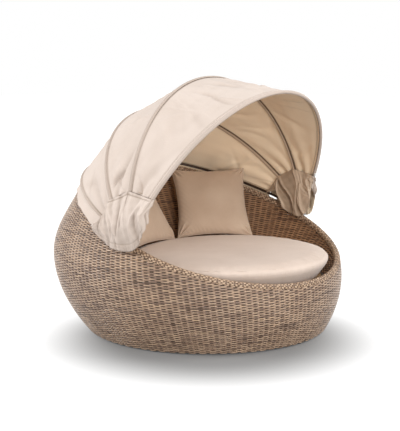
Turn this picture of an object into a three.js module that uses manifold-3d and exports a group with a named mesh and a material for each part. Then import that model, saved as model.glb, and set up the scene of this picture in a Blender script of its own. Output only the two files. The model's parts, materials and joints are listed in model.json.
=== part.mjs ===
// Round outdoor daybed. A bowl of woven rattan on an aluminium frame holds a round seat
// cushion and two scatter cushions. A folding hood of three cloth gores is carried by
// four hoops: the lowest lies along the rim, the other three turn on a bolt at each side.
// Millimetres, +Z up, the front of the seat faces -Y and the hoops turn about X.
// The origin is on the floor under the middle of the daybed.

import * as THREE from "three";
import { mergeVertices } from "three/addons/utils/BufferGeometryUtils.js";
import Module from "manifold-3d";

const wasm = await Module();
wasm.setup();

const { degToRad, lerp, smoothstep } = THREE.MathUtils;
const UP = new THREE.Vector3(0, 0, 1);
const FULL_TURN = 2 * Math.PI;

// Clearances
const touchGap = 0.3;
const seatGap = 0.8;
const seamGap = 0.9;

// Outer shape of the bowl: radius over height, round a centre that leans to the rear
const bowlCentreY = -82;
const bowlBellyRadius = 900;
const bowlBaseInset = 154;
const bowlNeckInset = 276;
const bowlBaseRadius = bowlBellyRadius - bowlBaseInset;
const bowlNeckRadius = bowlBellyRadius - bowlNeckInset;
const bowlBellyHeight = 400;
const bowlNeckHeight = 997;
const bowlLeanShare = 0.206;
const bowlNeckPower = 1.2;
const bowlFootHeight = 8;
const bowlSides = 48;
const bowlRows = 12;
const slopeStep = 1;
const rimTryCount = 720;

// Rim: a slanting cut through the bowl, finished with a tube wrapped in a braided band
const rimMiddleHeight = 677;
const rimSlopeShare = 0.384;
const rimEndDrop = 33;
const rimTubeRadius = 14;
const rimBandRadius = 20;
const rimBandProud = 2;
const rimBandDropShare = 0.7;
const rimBandSides = 6;
const tubeSides = 8;

// Woven skins
const weaveThickness = 8;
const weaveToBand = 1.3;
const weaveTopShare = 0.7;
const ribToWeave = 9;

// Frame under the seat
const baseRingInset = 24;
const baseRingRadius = bowlBaseRadius - baseRingInset;
const baseRingHeight = 30;
const baseTubeRadius = 12.5;
const seatCentreY = -272;
const seatRingInset = 325;
const seatRingRadius = bowlBellyRadius - seatRingInset;
const seatRingHeight = 327;
const seatTubeRadius = 12.5;
const ribTubeRadius = 8;
const ribCount = 8;
const ribHeightShares = [0.2, 0.36, 0.54, 0.72, 0.86, 0.95];
const ribSteps = 10;
const legTubeRadius = 10;
const legCount = 5;
const glideRadius = 20;
const glideStemRadius = 9;
const glideFootHeight = 9;
const slatCount = 5;
const slatPitch = 190;
const slatWidth = 45;
const slatThickness = 16;
const slatBelowRingTop = 5;
const seatPanelInset = 15;
const seatPanelRadius = seatRingRadius - seatPanelInset;
const seatPanelThickness = 12;

// Cushions
const seatPadOverRing = 35;
const seatPadRadius = seatRingRadius + seatPadOverRing;
const seatPadWidenShare = 1.05;
const seatPadSeamHeight = 128;
const seatPadCrown = 24;
const seatPadSides = 40;
const scatterSize = 505;
const scatterFrontBulge = 88;
const scatterBackBulge = 58;
const scatterLean = degToRad(33);
const scatterDrawIn = 26;
const scatterCells = 10;
const centreScatterX = 311;
const centreScatterY = 128;
const centreScatterOverSeam = 12.6;
const centreScatterFacing = degToRad(53.5);
const leftScatterX = -192;
const leftScatterY = 205;
const leftScatterOverSeam = 13.7;
const leftScatterFacing = degToRad(101);

// Hood hoops: bent tube, half ellipses that share one hinge line above the rim
const hingeY = -213;
const hingeAboveRim = 46.65;
const hingeOutset = 7.92;
const hoopTubeRadius = 8;
const hoopEnd = 12;
const hoopStraight = 30;
const hoopBendShares = [0.44, 0.72];
const washerThickness = 1.4;
const frontHoopInset = 67;
const crownHoopInset = 108;
const backHoopInset = 111;
const hemAboveRearRim = 36.86;
const hemBehindRearRim = 8.78;
const frontHoopAngle = degToRad(119.5);
const crownHoopAngle = degToRad(83.3);
const backHoopAngle = degToRad(50.1);
const ferruleReach = 235;
const ferruleLength = 12;
const ferruleWall = 2.5;

// Hinge at each side
const boltRadius = 4;
const boltHeadRadius = 8;
const boltHeadHeight = 5;
const nutRadius = 7;
const nutHeight = 9;
const nutDome = 3;
const washerRadius = 9;
const earThickness = 4;
const earGap = 0.6;
const earTop = 14;
const bracketDepth = 34;
const bracketBridge = 15;

// Saddle clips that hold the lowest hoop on the rim
const clipLength = 24;
const clipWidth = 12;
const clipReach = 150;

// Cloth of the hood
const clothThickness = 3;
const clothGap = 1;
const clothSag = 6;
const goreSteps = 22;
const goreRows = 4;
const sleeveTurn = degToRad(65);
const seamReach = 270;
const skirtDrop = 62;
const skirtStandoff = 6;
const skirtRows = 3;
const skirtEndShare = 0.004;
const cornerRows = 6;
const cornerSteps = 18;
const cornerOverNut = 4;
const cornerPuff = 8;
const cornerSpreadShare = 0.78;
const cornerFold = 7;
const cornerFoldCount = 4;
// Lower edge of a corner panel from rear to front, from the hinge, as shares of the seam's reach
const cornerHemShares = [
  [0.97, 0.11],
  [0.76, 0],
  [0.56, -0.11],
  [0.37, -0.19],
  [0.15, -0.23],
  [-0.04, -0.23],
  [-0.21, -0.18],
  [-0.36, -0.05],
  [-0.44, 0.22],
];

// Finishes
const finish = {
  weave: { color: 0x9a8468, roughness: 0.62, metalness: 0 },
  braid: { color: 0xa98f68, roughness: 0.6, metalness: 0 },
  innerWeave: { color: 0x7a5c43, roughness: 0.65, metalness: 0 },
  panel: { color: 0x8a6b4a, roughness: 0.7, metalness: 0 },
  frame: { color: 0x8f8f90, roughness: 0.45, metalness: 0.9 },
  hoop: { color: 0x4a3a2e, roughness: 0.45, metalness: 0.6 },
  bright: { color: 0xb9bbbd, roughness: 0.3, metalness: 1 },
  plastic: { color: 0x2a2826, roughness: 0.6, metalness: 0 },
  cloth: { color: 0xe3d6c7, roughness: 0.95, metalness: 0 },
  seat: { color: 0xd3c4b4, roughness: 0.95, metalness: 0 },
  scatter: { color: 0xb29b7c, roughness: 0.95, metalness: 0 },
};

const daybed = new THREE.Group();

// Adds one named piece to the daybed.
function addPiece(name, geometry, look) {
  const mesh = new THREE.Mesh(geometry, new THREE.MeshStandardMaterial(finish[look]));
  mesh.name = name;
  daybed.add(mesh);
  return mesh;
}

// Geometry with shared corners and nothing but positions.
function plain(geometry) {
  const bare = geometry.index ? geometry.toNonIndexed() : geometry.clone();
  bare.deleteAttribute("normal");
  bare.deleteAttribute("uv");
  return mergeVertices(bare);
}

function toSolid(geometry) {
  const merged = plain(geometry);
  return new wasm.Manifold(
    new wasm.Mesh({
      numProp: 3,
      vertProperties: new Float32Array(merged.attributes.position.array),
      triVerts: new Uint32Array(merged.index.array),
    }),
  );
}

function toGeometry(solid) {
  const mesh = solid.getMesh();
  const geometry = new THREE.BufferGeometry();
  const places = new Float32Array(mesh.numVert * 3);
  for (let i = 0; i < mesh.numVert; i += 1)
    for (let k = 0; k < 3; k += 1)
      places[3 * i + k] = mesh.vertProperties[i * mesh.numProp + k];
  geometry.setAttribute("position", new THREE.BufferAttribute(places, 3));
  geometry.setIndex(Array.from(mesh.triVerts));
  geometry.computeVertexNormals();
  return geometry;
}

// The first geometry with every other one taken out of it.
function cutAway(geometry, ...cutters) {
  return toGeometry(
    cutters.reduce((solid, cutter) => solid.subtract(toSolid(cutter)), toSolid(geometry)),
  );
}

// Skin through closed loops of points. The loops follow each other round a ring, or stop
// at a flat end; ends are closed with a fan from their middle.
function loft(loops, isRing) {
  const count = loops[0].length;
  const points = loops.flat();
  const faces = [];
  const last = isRing ? loops.length : loops.length - 1;
  for (let i = 0; i < last; i += 1)
    for (let j = 0; j < count; j += 1) {
      const a = i * count + j;
      const b = i * count + ((j + 1) % count);
      const c = ((i + 1) % loops.length) * count + ((j + 1) % count);
      const d = ((i + 1) % loops.length) * count + j;
      faces.push(a, b, c, a, c, d);
    }
  if (!isRing) closeEnds(loops, points, faces);
  return meshOf(points, faces);
}

function closeEnds(loops, points, faces) {
  const count = loops[0].length;
  const ends = [
    { loop: loops[0], from: 0, flip: true },
    { loop: loops[loops.length - 1], from: (loops.length - 1) * count, flip: false },
  ];
  for (const { loop, from, flip } of ends) {
    const middle = points.length;
    const sum = loop.reduce((total, point) => total.add(point), new THREE.Vector3());
    points.push(sum.divideScalar(count));
    for (let j = 0; j < count; j += 1) {
      const a = from + j;
      const b = from + ((j + 1) % count);
      faces.push(middle, flip ? b : a, flip ? a : b);
    }
  }
}

// A mesh from points and faces, turned so that its faces point out.
function meshOf(points, faces) {
  const geometry = new THREE.BufferGeometry().setFromPoints(points);
  const volume = faces.reduce((sum, _, i) => {
    if (i % 3) return sum;
    const [a, b, c] = [points[faces[i]], points[faces[i + 1]], points[faces[i + 2]]];
    return sum + a.dot(b.clone().cross(c));
  }, 0);
  geometry.setIndex(volume > 0 ? faces : faces.slice().reverse());
  geometry.computeVertexNormals();
  return geometry;
}

// A sheet with a thickness: two grids of points, one each side, joined along their edges.
function sheet(front, back) {
  const rows = front.length;
  const columns = front[0].length;
  const points = [...front.flat(), ...back.flat()];
  const faces = [];
  const at = (side, i, j) => side * rows * columns + i * columns + j;
  const quad = (a, b, c, d) => faces.push(a, b, c, a, c, d);
  for (let i = 0; i + 1 < rows; i += 1)
    for (let j = 0; j + 1 < columns; j += 1) {
      quad(at(0, i, j), at(0, i, j + 1), at(0, i + 1, j + 1), at(0, i + 1, j));
      quad(at(1, i, j), at(1, i + 1, j), at(1, i + 1, j + 1), at(1, i, j + 1));
    }
  for (let j = 0; j + 1 < columns; j += 1) {
    quad(at(0, 0, j), at(1, 0, j), at(1, 0, j + 1), at(0, 0, j + 1));
    quad(at(0, rows - 1, j + 1), at(1, rows - 1, j + 1), at(1, rows - 1, j), at(0, rows - 1, j));
  }
  for (let i = 0; i + 1 < rows; i += 1) {
    quad(at(0, i + 1, 0), at(1, i + 1, 0), at(1, i, 0), at(0, i, 0));
    const last = columns - 1;
    quad(at(0, i, last), at(1, i, last), at(1, i + 1, last), at(0, i + 1, last));
  }
  return meshOf(points, faces);
}

// A round bar along a curve.
function bar(curve, radius, steps) {
  const section = new THREE.Shape();
  for (let k = 0; k < tubeSides; k += 1) {
    const turn = (FULL_TURN * k) / tubeSides;
    const x = radius * Math.cos(turn);
    const y = radius * Math.sin(turn);
    if (k === 0) section.moveTo(x, y);
    else section.lineTo(x, y);
  }
  section.closePath();
  return new THREE.ExtrudeGeometry(section, { steps, extrudePath: curve, bevelEnabled: false });
}

// A cylinder of the given radius along X between two places.
function cylinderAlongX(radius, fromX, toX, y, z) {
  return new THREE.CylinderGeometry(radius, radius, toX - fromX, 16)
    .rotateZ(Math.PI / 2)
    .translate((fromX + toX) / 2, y, z);
}

// A turned piece along X: profile pairs are distance from the axis and place along X.
function turnedAlongX(profile, side, y, z) {
  const points = profile.map(([radius, along]) => new THREE.Vector2(radius, along));
  return new THREE.LatheGeometry(points, 16).rotateZ((-side * Math.PI) / 2).translate(0, y, z);
}

// Bowl shape
function bowlRadius(z) {
  if (z < bowlBellyHeight) {
    const short = (bowlBellyHeight - z) / bowlBellyHeight;
    return lerp(bowlBaseRadius, bowlBellyRadius, 1 - short * short);
  }
  const rise = (z - bowlBellyHeight) / (bowlNeckHeight - bowlBellyHeight);
  return lerp(bowlBellyRadius, bowlNeckRadius, smoothstep(Math.pow(rise, bowlNeckPower), 0, 1));
}

function bowlPoint(angle, z, inward = 0) {
  const radius = bowlRadius(z) - inward;
  const centreY = bowlCentreY + bowlLeanShare * z;
  return new THREE.Vector3(radius * Math.cos(angle), centreY + radius * Math.sin(angle), z);
}

// Rim shape
function rimHeight(y) {
  const fromMiddle = y - bowlCentreY;
  const reach = fromMiddle / bowlBellyRadius;
  return rimMiddleHeight + rimSlopeShare * fromMiddle - rimEndDrop * reach * reach * reach;
}

function rimEdge(angle) {
  let z = rimMiddleHeight;
  for (let i = 0; i < 60; i += 1) z = (z + rimHeight(bowlPoint(angle, z).y)) / 2;
  return bowlPoint(angle, z);
}

// Middle of the rim tube: set in from the edge of the bowl along its slope.
function rimCentre(angle) {
  const edge = rimEdge(angle);
  const above = bowlRadius(edge.z + slopeStep);
  const below = bowlRadius(edge.z - slopeStep);
  const slope = (above - below) / (2 * slopeStep) + bowlLeanShare * Math.sin(angle);
  const outward = new THREE.Vector3(Math.cos(angle), Math.sin(angle), -slope).normalize();
  const down = new THREE.Vector3(-slope * Math.cos(angle), -slope * Math.sin(angle), -1).normalize();
  return {
    centre: edge
      .clone()
      .addScaledVector(outward, rimBandProud - rimBandRadius)
      .addScaledVector(down, rimBandRadius * rimBandDropShare),
    outward,
  };
}

// The rim tube's middle with its own directions: along it, out of the bowl, and down.
function rimFrame(angle) {
  const { centre, outward } = rimCentre(angle);
  const step = FULL_TURN / rimTryCount;
  const along = rimCentre(angle + step).centre.sub(rimCentre(angle - step).centre).normalize();
  const out = outward.clone().addScaledVector(along, -outward.dot(along)).normalize();
  const down = out.clone().cross(along).normalize();
  return { centre, along, out, down: down.z > 0 ? down.negate() : down };
}

const turnsOf = (count) => Array.from({ length: count }, (_, i) => (FULL_TURN * i) / count);
const rimTries = turnsOf(rimTryCount);
const rimAngles = turnsOf(bowlSides);
const rimFrames = rimAngles.map(rimFrame);

function besideRim({ centre, out, down }, outBy, downBy) {
  return centre.clone().addScaledVector(out, outBy).addScaledVector(down, downBy);
}

// A ring of the given radius round the rim line.
function rimRing(radius) {
  const loops = rimFrames.map((frame) =>
    Array.from({ length: tubeSides }, (_, k) => {
      const turn = (FULL_TURN * k) / tubeSides;
      return besideRim(frame, radius * Math.cos(turn), radius * Math.sin(turn));
    }),
  );
  return loft(loops, true);
}

// The braided band: round the rim tube, open below where the ribs and the skins come in.
function rimBand() {
  const start = Math.PI / 2 + FULL_TURN / tubeSides;
  const turns = Array.from({ length: rimBandSides + 1 }, (_, k) => start + (FULL_TURN * k) / tubeSides);
  const loops = rimFrames.map((frame) => {
    const place = (radius, turn) => besideRim(frame, radius * Math.cos(turn), radius * Math.sin(turn));
    return [
      ...turns.map((turn) => place(rimBandRadius, turn)),
      ...turns.slice().reverse().map((turn) => place(rimTubeRadius + seatGap, turn)),
    ];
  });
  return loft(loops, true);
}

// The outer skin: from just above the floor up to the underside of the band.
function outerWeave() {
  const outer = rimBandRadius - rimBandProud;
  const inner = outer - weaveThickness * weaveTopShare;
  const reach = rimBandRadius + weaveToBand;
  const loops = rimFrames.map((frame, i) => {
    const top = besideRim(frame, outer, Math.sqrt(reach * reach - outer * outer));
    const topInside = besideRim(frame, inner, Math.sqrt(reach * reach - inner * inner));
    const rows = Array.from({ length: bowlRows }, (_, k) => k / bowlRows);
    const heights = rows.map((share) => lerp(bowlFootHeight, topInside.z, share));
    return [
      ...heights.map((z) => bowlPoint(rimAngles[i], z)),
      top,
      topInside,
      ...heights.reverse().map((z) => bowlPoint(rimAngles[i], z, weaveThickness)),
    ];
  });
  return loft(loops, true);
}

// The inner skin: straight from under the band down to the seat ring.
function innerWeave() {
  const footHeight = seatRingHeight + seatTubeRadius + seatGap;
  const half = weaveThickness / 2;
  const loops = rimFrames.map(({ centre, along }) => {
    const facing = Math.atan2(centre.y - seatCentreY, centre.x);
    const foot = onRing(seatRingRadius, seatCentreY, footHeight, facing);
    const drop = foot.clone().sub(centre);
    drop.addScaledVector(along, -drop.dot(along)).normalize();
    const head = centre.clone().addScaledVector(drop, rimBandRadius + weaveToBand);
    const across = drop.clone().cross(along).normalize();
    const side = across.multiplyScalar(across.z > 0 ? half : -half);
    const flat = new THREE.Vector3(-Math.cos(facing), -Math.sin(facing), 0).multiplyScalar(half);
    return [head.clone().add(side), foot.clone().add(flat), foot.clone().sub(flat), head.clone().sub(side)];
  });
  return loft(loops, true);
}

function flatRing(radius, tubeRadius, centreY, z) {
  return new THREE.TorusGeometry(radius, tubeRadius, tubeSides, 40)
    .rotateZ(FULL_TURN / 80)
    .translate(0, centreY, z);
}

function addBowl() {
  addPiece("outer_weave", outerWeave(), "weave");
  addPiece("inner_weave", innerWeave(), "innerWeave");
  addPiece("rim_band", rimBand(), "braid");
  addPiece("rim_tube", rimRing(rimTubeRadius), "frame");
}

// Frame
const baseRing = flatRing(baseRingRadius, baseTubeRadius, bowlCentreY, baseRingHeight);
const baseCutter = flatRing(baseRingRadius, baseTubeRadius + touchGap, bowlCentreY, baseRingHeight);
const seatRing = flatRing(seatRingRadius, seatTubeRadius, seatCentreY, seatRingHeight);
const seatCutter = flatRing(seatRingRadius, seatTubeRadius + touchGap, seatCentreY, seatRingHeight);
const rimTubeCutter = rimRing(rimTubeRadius + touchGap);
const bandCutter = rimRing(rimBandRadius + seatGap);

function onRing(radius, centreY, z, angle) {
  return new THREE.Vector3(radius * Math.cos(angle), centreY + radius * Math.sin(angle), z);
}

// A rib: from the base ring up behind the outer skin to the rim tube.
function rib(angle) {
  const foot = onRing(baseRingRadius, bowlCentreY, baseRingHeight, angle);
  const head = rimFrame(angle).centre;
  const inward = weaveThickness + ribToWeave + ribTubeRadius;
  const between = ribHeightShares.map((share) => bowlPoint(angle, lerp(foot.z, head.z, share), inward));
  const curve = new THREE.CatmullRomCurve3([foot, ...between, head]);
  return cutAway(bar(curve, ribTubeRadius, ribSteps), baseCutter, rimTubeCutter);
}

function leg(angle) {
  const head = onRing(seatRingRadius, seatCentreY, seatRingHeight, angle);
  const foot = onRing(baseRingRadius, bowlCentreY, baseRingHeight, angle);
  const curve = new THREE.LineCurve3(foot, head);
  return cutAway(bar(curve, legTubeRadius, 1), baseCutter, seatCutter);
}

function glide(angle) {
  const top = baseRingHeight - baseTubeRadius - touchGap;
  const profile = [
    [0, 0],
    [glideRadius, 0],
    [glideRadius, glideFootHeight],
    [glideStemRadius, glideFootHeight],
    [glideStemRadius, top],
    [0, top],
  ].map(([radius, z]) => new THREE.Vector2(radius, z));
  const place = onRing(baseRingRadius, bowlCentreY, 0, angle);
  return new THREE.LatheGeometry(profile, 16).rotateX(Math.PI / 2).translate(place.x, place.y, 0);
}

const slatTop = seatRingHeight + seatTubeRadius - slatBelowRingTop;

function slat(index) {
  const fromMiddle = (index - (slatCount - 1) / 2) * slatPitch;
  const half = Math.sqrt(seatRingRadius ** 2 - (Math.abs(fromMiddle) + slatWidth / 2) ** 2);
  const length = 2 * half;
  const box = new THREE.BoxGeometry(length, slatWidth, slatThickness).translate(
    0,
    seatCentreY + fromMiddle,
    slatTop - slatThickness / 2,
  );
  return cutAway(box, seatCutter);
}

function addFrame() {
  addPiece("base_ring", baseRing, "frame");
  addPiece("seat_ring", seatRing, "frame");
  for (let i = 0; i < ribCount; i += 1)
    addPiece(`rib_${i + 1}`, rib((FULL_TURN * (i + 0.5)) / ribCount), "frame");
  for (let i = 0; i < legCount; i += 1) {
    const angle = -Math.PI / 2 + (FULL_TURN * i) / legCount;
    addPiece(`seat_leg_${i + 1}`, leg(angle), "frame");
    addPiece(`floor_glide_${i + 1}`, glide(angle), "plastic");
  }
  for (let i = 0; i < slatCount; i += 1) addPiece(`seat_slat_${i + 1}`, slat(i), "frame");
  const panel = new THREE.CylinderGeometry(seatPanelRadius, seatPanelRadius, seatPanelThickness, 40)
    .rotateX(Math.PI / 2)
    .translate(0, seatCentreY, slatTop + touchGap + seatPanelThickness / 2);
  addPiece("seat_panel", panel, "panel");
}

const seatTop = slatTop + touchGap + seatPanelThickness;

// The seat cushion: flat below, sides that open out with the inner skin, a seam round the
// top and a low crown. It is a little wider than it is deep.
function seatCushion() {
  const bottom = seatTop + touchGap;
  const seam = seatPadSeamHeight;
  const profileShares = [
    [0, 0],
    [0.86, 0],
    [0.889, 0.07],
    [0.9165, 0.25],
    [0.9465, 0.45],
    [1, 0.83],
    [0.992, 1],
  ];
  const side = profileShares.map(([r, z]) => new THREE.Vector2(r * seatPadRadius, bottom + z * seam));
  const edge = side[side.length - 1];
  const crownShares = [0.94, 0.84, 0.65, 0.4, 0];
  const crown = crownShares.map((share) => {
    const rise = Math.sqrt(1 - Math.pow(share, 4));
    return new THREE.Vector2(share * edge.x, edge.y + rise * seatPadCrown);
  });
  return new THREE.LatheGeometry([...side, ...crown], seatPadSides)
    .rotateX(Math.PI / 2)
    .scale(seatPadWidenShare, 1, 1)
    .translate(0, seatCentreY, 0);
}

// A scatter cushion lying flat round the origin: crowned faces, sides drawn in between its corners.
function scatterCushion() {
  const half = scatterSize / 2;
  const cell = (i) => Math.sin(((i / scatterCells) * 2 - 1) * (Math.PI / 2));
  const place = (i, j, side) => {
    const u = cell(i);
    const v = cell(j);
    const plump = Math.pow((1 - u * u) * (1 - v * v), 0.42);
    const x = u * (half - scatterDrawIn * (1 - v * v));
    const y = v * (half - scatterDrawIn * (1 - u * u));
    return new THREE.Vector3(x, y, plump * (side > 0 ? scatterFrontBulge : -scatterBackBulge));
  };
  const points = [];
  const faces = [];
  const wide = scatterCells + 1;
  for (const side of [1, -1])
    for (let i = 0; i < wide; i += 1) for (let j = 0; j < wide; j += 1) points.push(place(i, j, side));
  for (let i = 0; i < scatterCells; i += 1)
    for (let j = 0; j < scatterCells; j += 1) {
      const a = i * wide + j;
      const quad = [a, a + wide, a + wide + 1, a, a + wide + 1, a + 1];
      faces.push(...quad, ...quad.map((k) => k + wide * wide).reverse());
    }
  return plain(meshOf(points, faces));
}

// Stands a scatter cushion on the seat with its back to the bowl's rear wall.
function addScatter(name, { x, y, overSeam, facing }) {
  const mesh = addPiece(name, scatterCushion(), "scatter");
  const away = new THREE.Vector3(Math.cos(facing), Math.sin(facing), 0);
  const side = new THREE.Vector3(Math.sin(facing), -Math.cos(facing), 0);
  const upward = UP.clone()
    .multiplyScalar(Math.cos(scatterLean))
    .addScaledVector(away, Math.sin(scatterLean));
  const normal = side.clone().cross(upward);
  mesh.setRotationFromMatrix(new THREE.Matrix4().makeBasis(side, upward, normal));
  mesh.position.set(x, y, seatSeam + overSeam).addScaledVector(upward, scatterSize / 2);
}

const seatSeam = seatTop + touchGap + seatPadSeamHeight;

function addCushions() {
  addPiece("seat_cushion", seatCushion(), "seat");
  addScatter("centre_scatter_cushion", {
    x: centreScatterX,
    y: centreScatterY,
    overSeam: centreScatterOverSeam,
    facing: centreScatterFacing,
  });
  addScatter("left_scatter_cushion", {
    x: leftScatterX,
    y: leftScatterY,
    overSeam: leftScatterOverSeam,
    facing: leftScatterFacing,
  });
}

// The rim's angle at a given place from front to rear, on the right-hand side.
function rimAngleAt(y) {
  let [low, high] = [-Math.PI / 2, Math.PI / 2];
  for (let i = 0; i < 40; i += 1) {
    const middle = (low + high) / 2;
    if (rimCentre(middle).centre.y < y) low = middle;
    else high = middle;
  }
  return (low + high) / 2;
}

// Hoops: x runs across, the reach turns up from the rear round the hinge line. The lowest
// follows the rim; the others reach a little less far.
const rimAtHinge = rimCentre(rimAngleAt(hingeY)).centre;
const rimAtRear = rimCentre(Math.PI / 2).centre;
const hingeHeight = rimAtHinge.z + hingeAboveRim;
const halfWidth = rimAtHinge.x + hingeOutset;
const hemRise = rimAtRear.z + hemAboveRearRim - hingeHeight;
const hemRun = rimAtRear.y + hemBehindRearRim - hingeY;
const hoopPitch = 2 * hoopTubeRadius + washerThickness + 2 * touchGap;
const hemReach = Math.hypot(hemRun, hemRise);
const hoopBends = hoopBendShares.map((share) => share * seamReach);
const hoops = {
  front: { halfWidth: halfWidth - hoopPitch, radius: hemReach - frontHoopInset, angle: frontHoopAngle },
  crown: { halfWidth, radius: hemReach - crownHoopInset, angle: crownHoopAngle },
  back: { halfWidth: halfWidth + hoopPitch, radius: hemReach - backHoopInset, angle: backHoopAngle },
  hem: { halfWidth, radius: hemReach, angle: Math.atan2(hemRise, hemRun) },
};

function hoopPoint(hoop, turn) {
  const reach = hoop.radius * Math.sin(turn);
  const sideways = reach > hoopStraight + touchGap ? Math.cos(turn) : Math.sign(Math.cos(turn));
  return new THREE.Vector3(
    hoop.halfWidth * sideways,
    hingeY + reach * Math.cos(hoop.angle),
    hingeHeight + reach * Math.sin(hoop.angle),
  );
}

// The place along a hoop where it has the given reach from the hinge line.
function turnAt(hoop, reach) {
  return Math.asin(reach / hoop.radius);
}

function turnOfHoop(hoop, share) {
  const start = turnAt(hoop, seamReach);
  return lerp(start, Math.PI - start, share);
}

function hoopTangent(hoop, turn) {
  const rise = hoop.radius * Math.cos(turn);
  return new THREE.Vector3(
    -hoop.halfWidth * Math.sin(turn),
    rise * Math.cos(hoop.angle),
    rise * Math.sin(hoop.angle),
  ).normalize();
}

// A loop of points round a hoop's tube.
function hoopLoop(hoop, turn, radius) {
  const across = new THREE.Vector3(0, -Math.sin(hoop.angle), Math.cos(hoop.angle));
  const out = hoopTangent(hoop, turn).cross(across).normalize();
  return Array.from({ length: tubeSides }, (_, k) => {
    const angle = (FULL_TURN * k) / tubeSides;
    return hoopPoint(hoop, turn)
      .addScaledVector(out, radius * Math.cos(angle))
      .addScaledVector(across, radius * Math.sin(angle));
  });
}

// A hoop's tube, from one end round to the other, with flat ends.
function hoopTube(hoop, radius, endReaches) {
  const ends = endReaches.map((reach) => turnAt(hoop, reach));
  const middle = Array.from({ length: goreSteps + 1 }, (_, i) => turnOfHoop(hoop, i / goreSteps));
  const turns = [...ends, ...middle, ...ends.map((turn) => Math.PI - turn).reverse()];
  return loft(turns.map((turn) => hoopLoop(hoop, turn, radius)), false);
}

const boltHoles = [-1, 1].map((side) => {
  const reach = halfWidth + 2 * hoopPitch;
  const near = halfWidth - 2 * hoopPitch;
  const [from, to] = side > 0 ? [near, reach] : [-reach, -near];
  return cylinderAlongX(boltRadius + touchGap, from, to, hingeY, hingeHeight);
});

function addHoops() {
  for (const name of ["front", "crown", "back"]) {
    const tube = hoopTube(hoops[name], hoopTubeRadius, [-hoopEnd, hoopStraight, ...hoopBends]);
    addPiece(`${name}_hoop`, cutAway(tube, ...boltHoles), "hoop");
  }
  addPiece("hem_hoop", hoopTube(hoops.hem, hoopTubeRadius, hoopBends), "hoop");
  for (const side of [-1, 1]) {
    const turn = turnAt(hoops.front, ferruleReach);
    const name = side > 0 ? "front_hoop_ferrule_right" : "front_hoop_ferrule_left";
    addPiece(name, ferrule(side > 0 ? turn : Math.PI - turn), "bright");
  }
}

// A short collar on the front hoop where the cloth sleeve stops.
function ferrule(turn) {
  const step = ferruleLength / 2 / hoops.front.radius;
  const ends = [turn - step, turn + step];
  const collar = loft(ends.map((at) => hoopLoop(hoops.front, at, hoopTubeRadius + ferruleWall)), false);
  return cutAway(collar, hoopTube(hoops.front, hoopTubeRadius + touchGap, hoopBends));
}

// Hinge hardware: bracket on the rim, bolt, washers between the hoops, domed nut.
const innerEar = hoops.front.halfWidth - hoopTubeRadius - earGap - earThickness;
const outerEar = hoops.back.halfWidth + hoopTubeRadius + earGap;
const nutTip = outerEar + earThickness + nutHeight + touchGap;

function bracket(side) {
  const low = hingeHeight - bracketBridge - rimBandRadius;
  const bridge = hingeHeight - bracketBridge;
  const top = hingeHeight + earTop;
  const outline = new THREE.Shape(
    [
      [innerEar, low],
      [outerEar + earThickness, low],
      [outerEar + earThickness, top],
      [outerEar, top],
      [outerEar, bridge],
      [innerEar + earThickness, bridge],
      [innerEar + earThickness, top],
      [innerEar, top],
    ].map(([x, z]) => new THREE.Vector2(x, z)),
  );
  const block = new THREE.ExtrudeGeometry(outline, { depth: bracketDepth, bevelEnabled: false })
    .translate(0, 0, -bracketDepth / 2)
    .rotateX(Math.PI / 2)
    .translate(0, hingeY, 0);
  if (side < 0) block.rotateZ(Math.PI).translate(0, 2 * hingeY, 0);
  return cutAway(block, bandCutter, ...boltHoles);
}

function bolt(side) {
  const head = innerEar - touchGap;
  const tip = outerEar + earThickness + nutHeight - nutDome;
  const profile = [
    [0, head - boltHeadHeight],
    [boltHeadRadius, head - boltHeadHeight],
    [boltHeadRadius, head],
    [boltRadius, head],
    [boltRadius, tip],
    [0, tip],
  ];
  return turnedAlongX(profile, side, hingeY, hingeHeight);
}

function domedNut(side) {
  const face = outerEar + earThickness + touchGap;
  const tip = outerEar + earThickness + nutHeight - nutDome + touchGap;
  const bore = boltRadius + touchGap;
  const profile = [
    [0, tip],
    [bore, tip],
    [bore, face],
    [nutRadius, face],
    [nutRadius, tip],
    [nutRadius / 2, tip + nutDome],
    [0, tip + nutDome],
  ];
  return turnedAlongX(profile, side, hingeY, hingeHeight);
}

function washer(side, hoop) {
  const from = hoop.halfWidth + hoopTubeRadius + touchGap;
  const bore = boltRadius + touchGap;
  const profile = [
    [bore, from],
    [washerRadius, from],
    [washerRadius, from + washerThickness],
    [bore, from + washerThickness],
    [bore, from],
  ];
  return turnedAlongX(profile, side, hingeY, hingeHeight);
}

function addHinges() {
  for (const [side, word] of [
    [-1, "left"],
    [1, "right"],
  ]) {
    addPiece(`hinge_bracket_${word}`, bracket(side), "frame");
    addPiece(`hinge_bolt_${word}`, bolt(side), "bright");
    addPiece(`hinge_nut_${word}`, domedNut(side), "bright");
    addPiece(`inner_washer_${word}`, washer(side, hoops.front), "plastic");
    addPiece(`outer_washer_${word}`, washer(side, hoops.crown), "plastic");
  }
}

// A saddle between the lowest hoop and the band on the rim.
function saddleClip(turn) {
  const onHoop = hoopPoint(hoops.hem, turn);
  const onRim = nearestRimCentre(onHoop);
  const lift = onHoop.clone().sub(onRim.centre);
  const length = lift.length() - hoopTubeRadius / 2;
  const upward = lift.normalize();
  const across = onRim.along.clone().cross(upward).normalize();
  const along = upward.clone().cross(across);
  const block = new THREE.BoxGeometry(clipLength, length, clipWidth)
    .applyMatrix4(new THREE.Matrix4().makeBasis(along, upward, across))
    .translate(...onRim.centre.clone().addScaledVector(upward, length / 2).toArray());
  const tubeCutter = hoopTube(hoops.hem, hoopTubeRadius + touchGap, hoopBends);
  return cutAway(block, tubeCutter, bandCutter);
}

function nearestRimCentre(point) {
  const distance = (angle) => rimCentre(angle).centre.distanceTo(point);
  const nearest = rimTries.reduce((best, angle) => (distance(angle) < distance(best) ? angle : best));
  return rimFrame(nearest);
}

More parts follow.
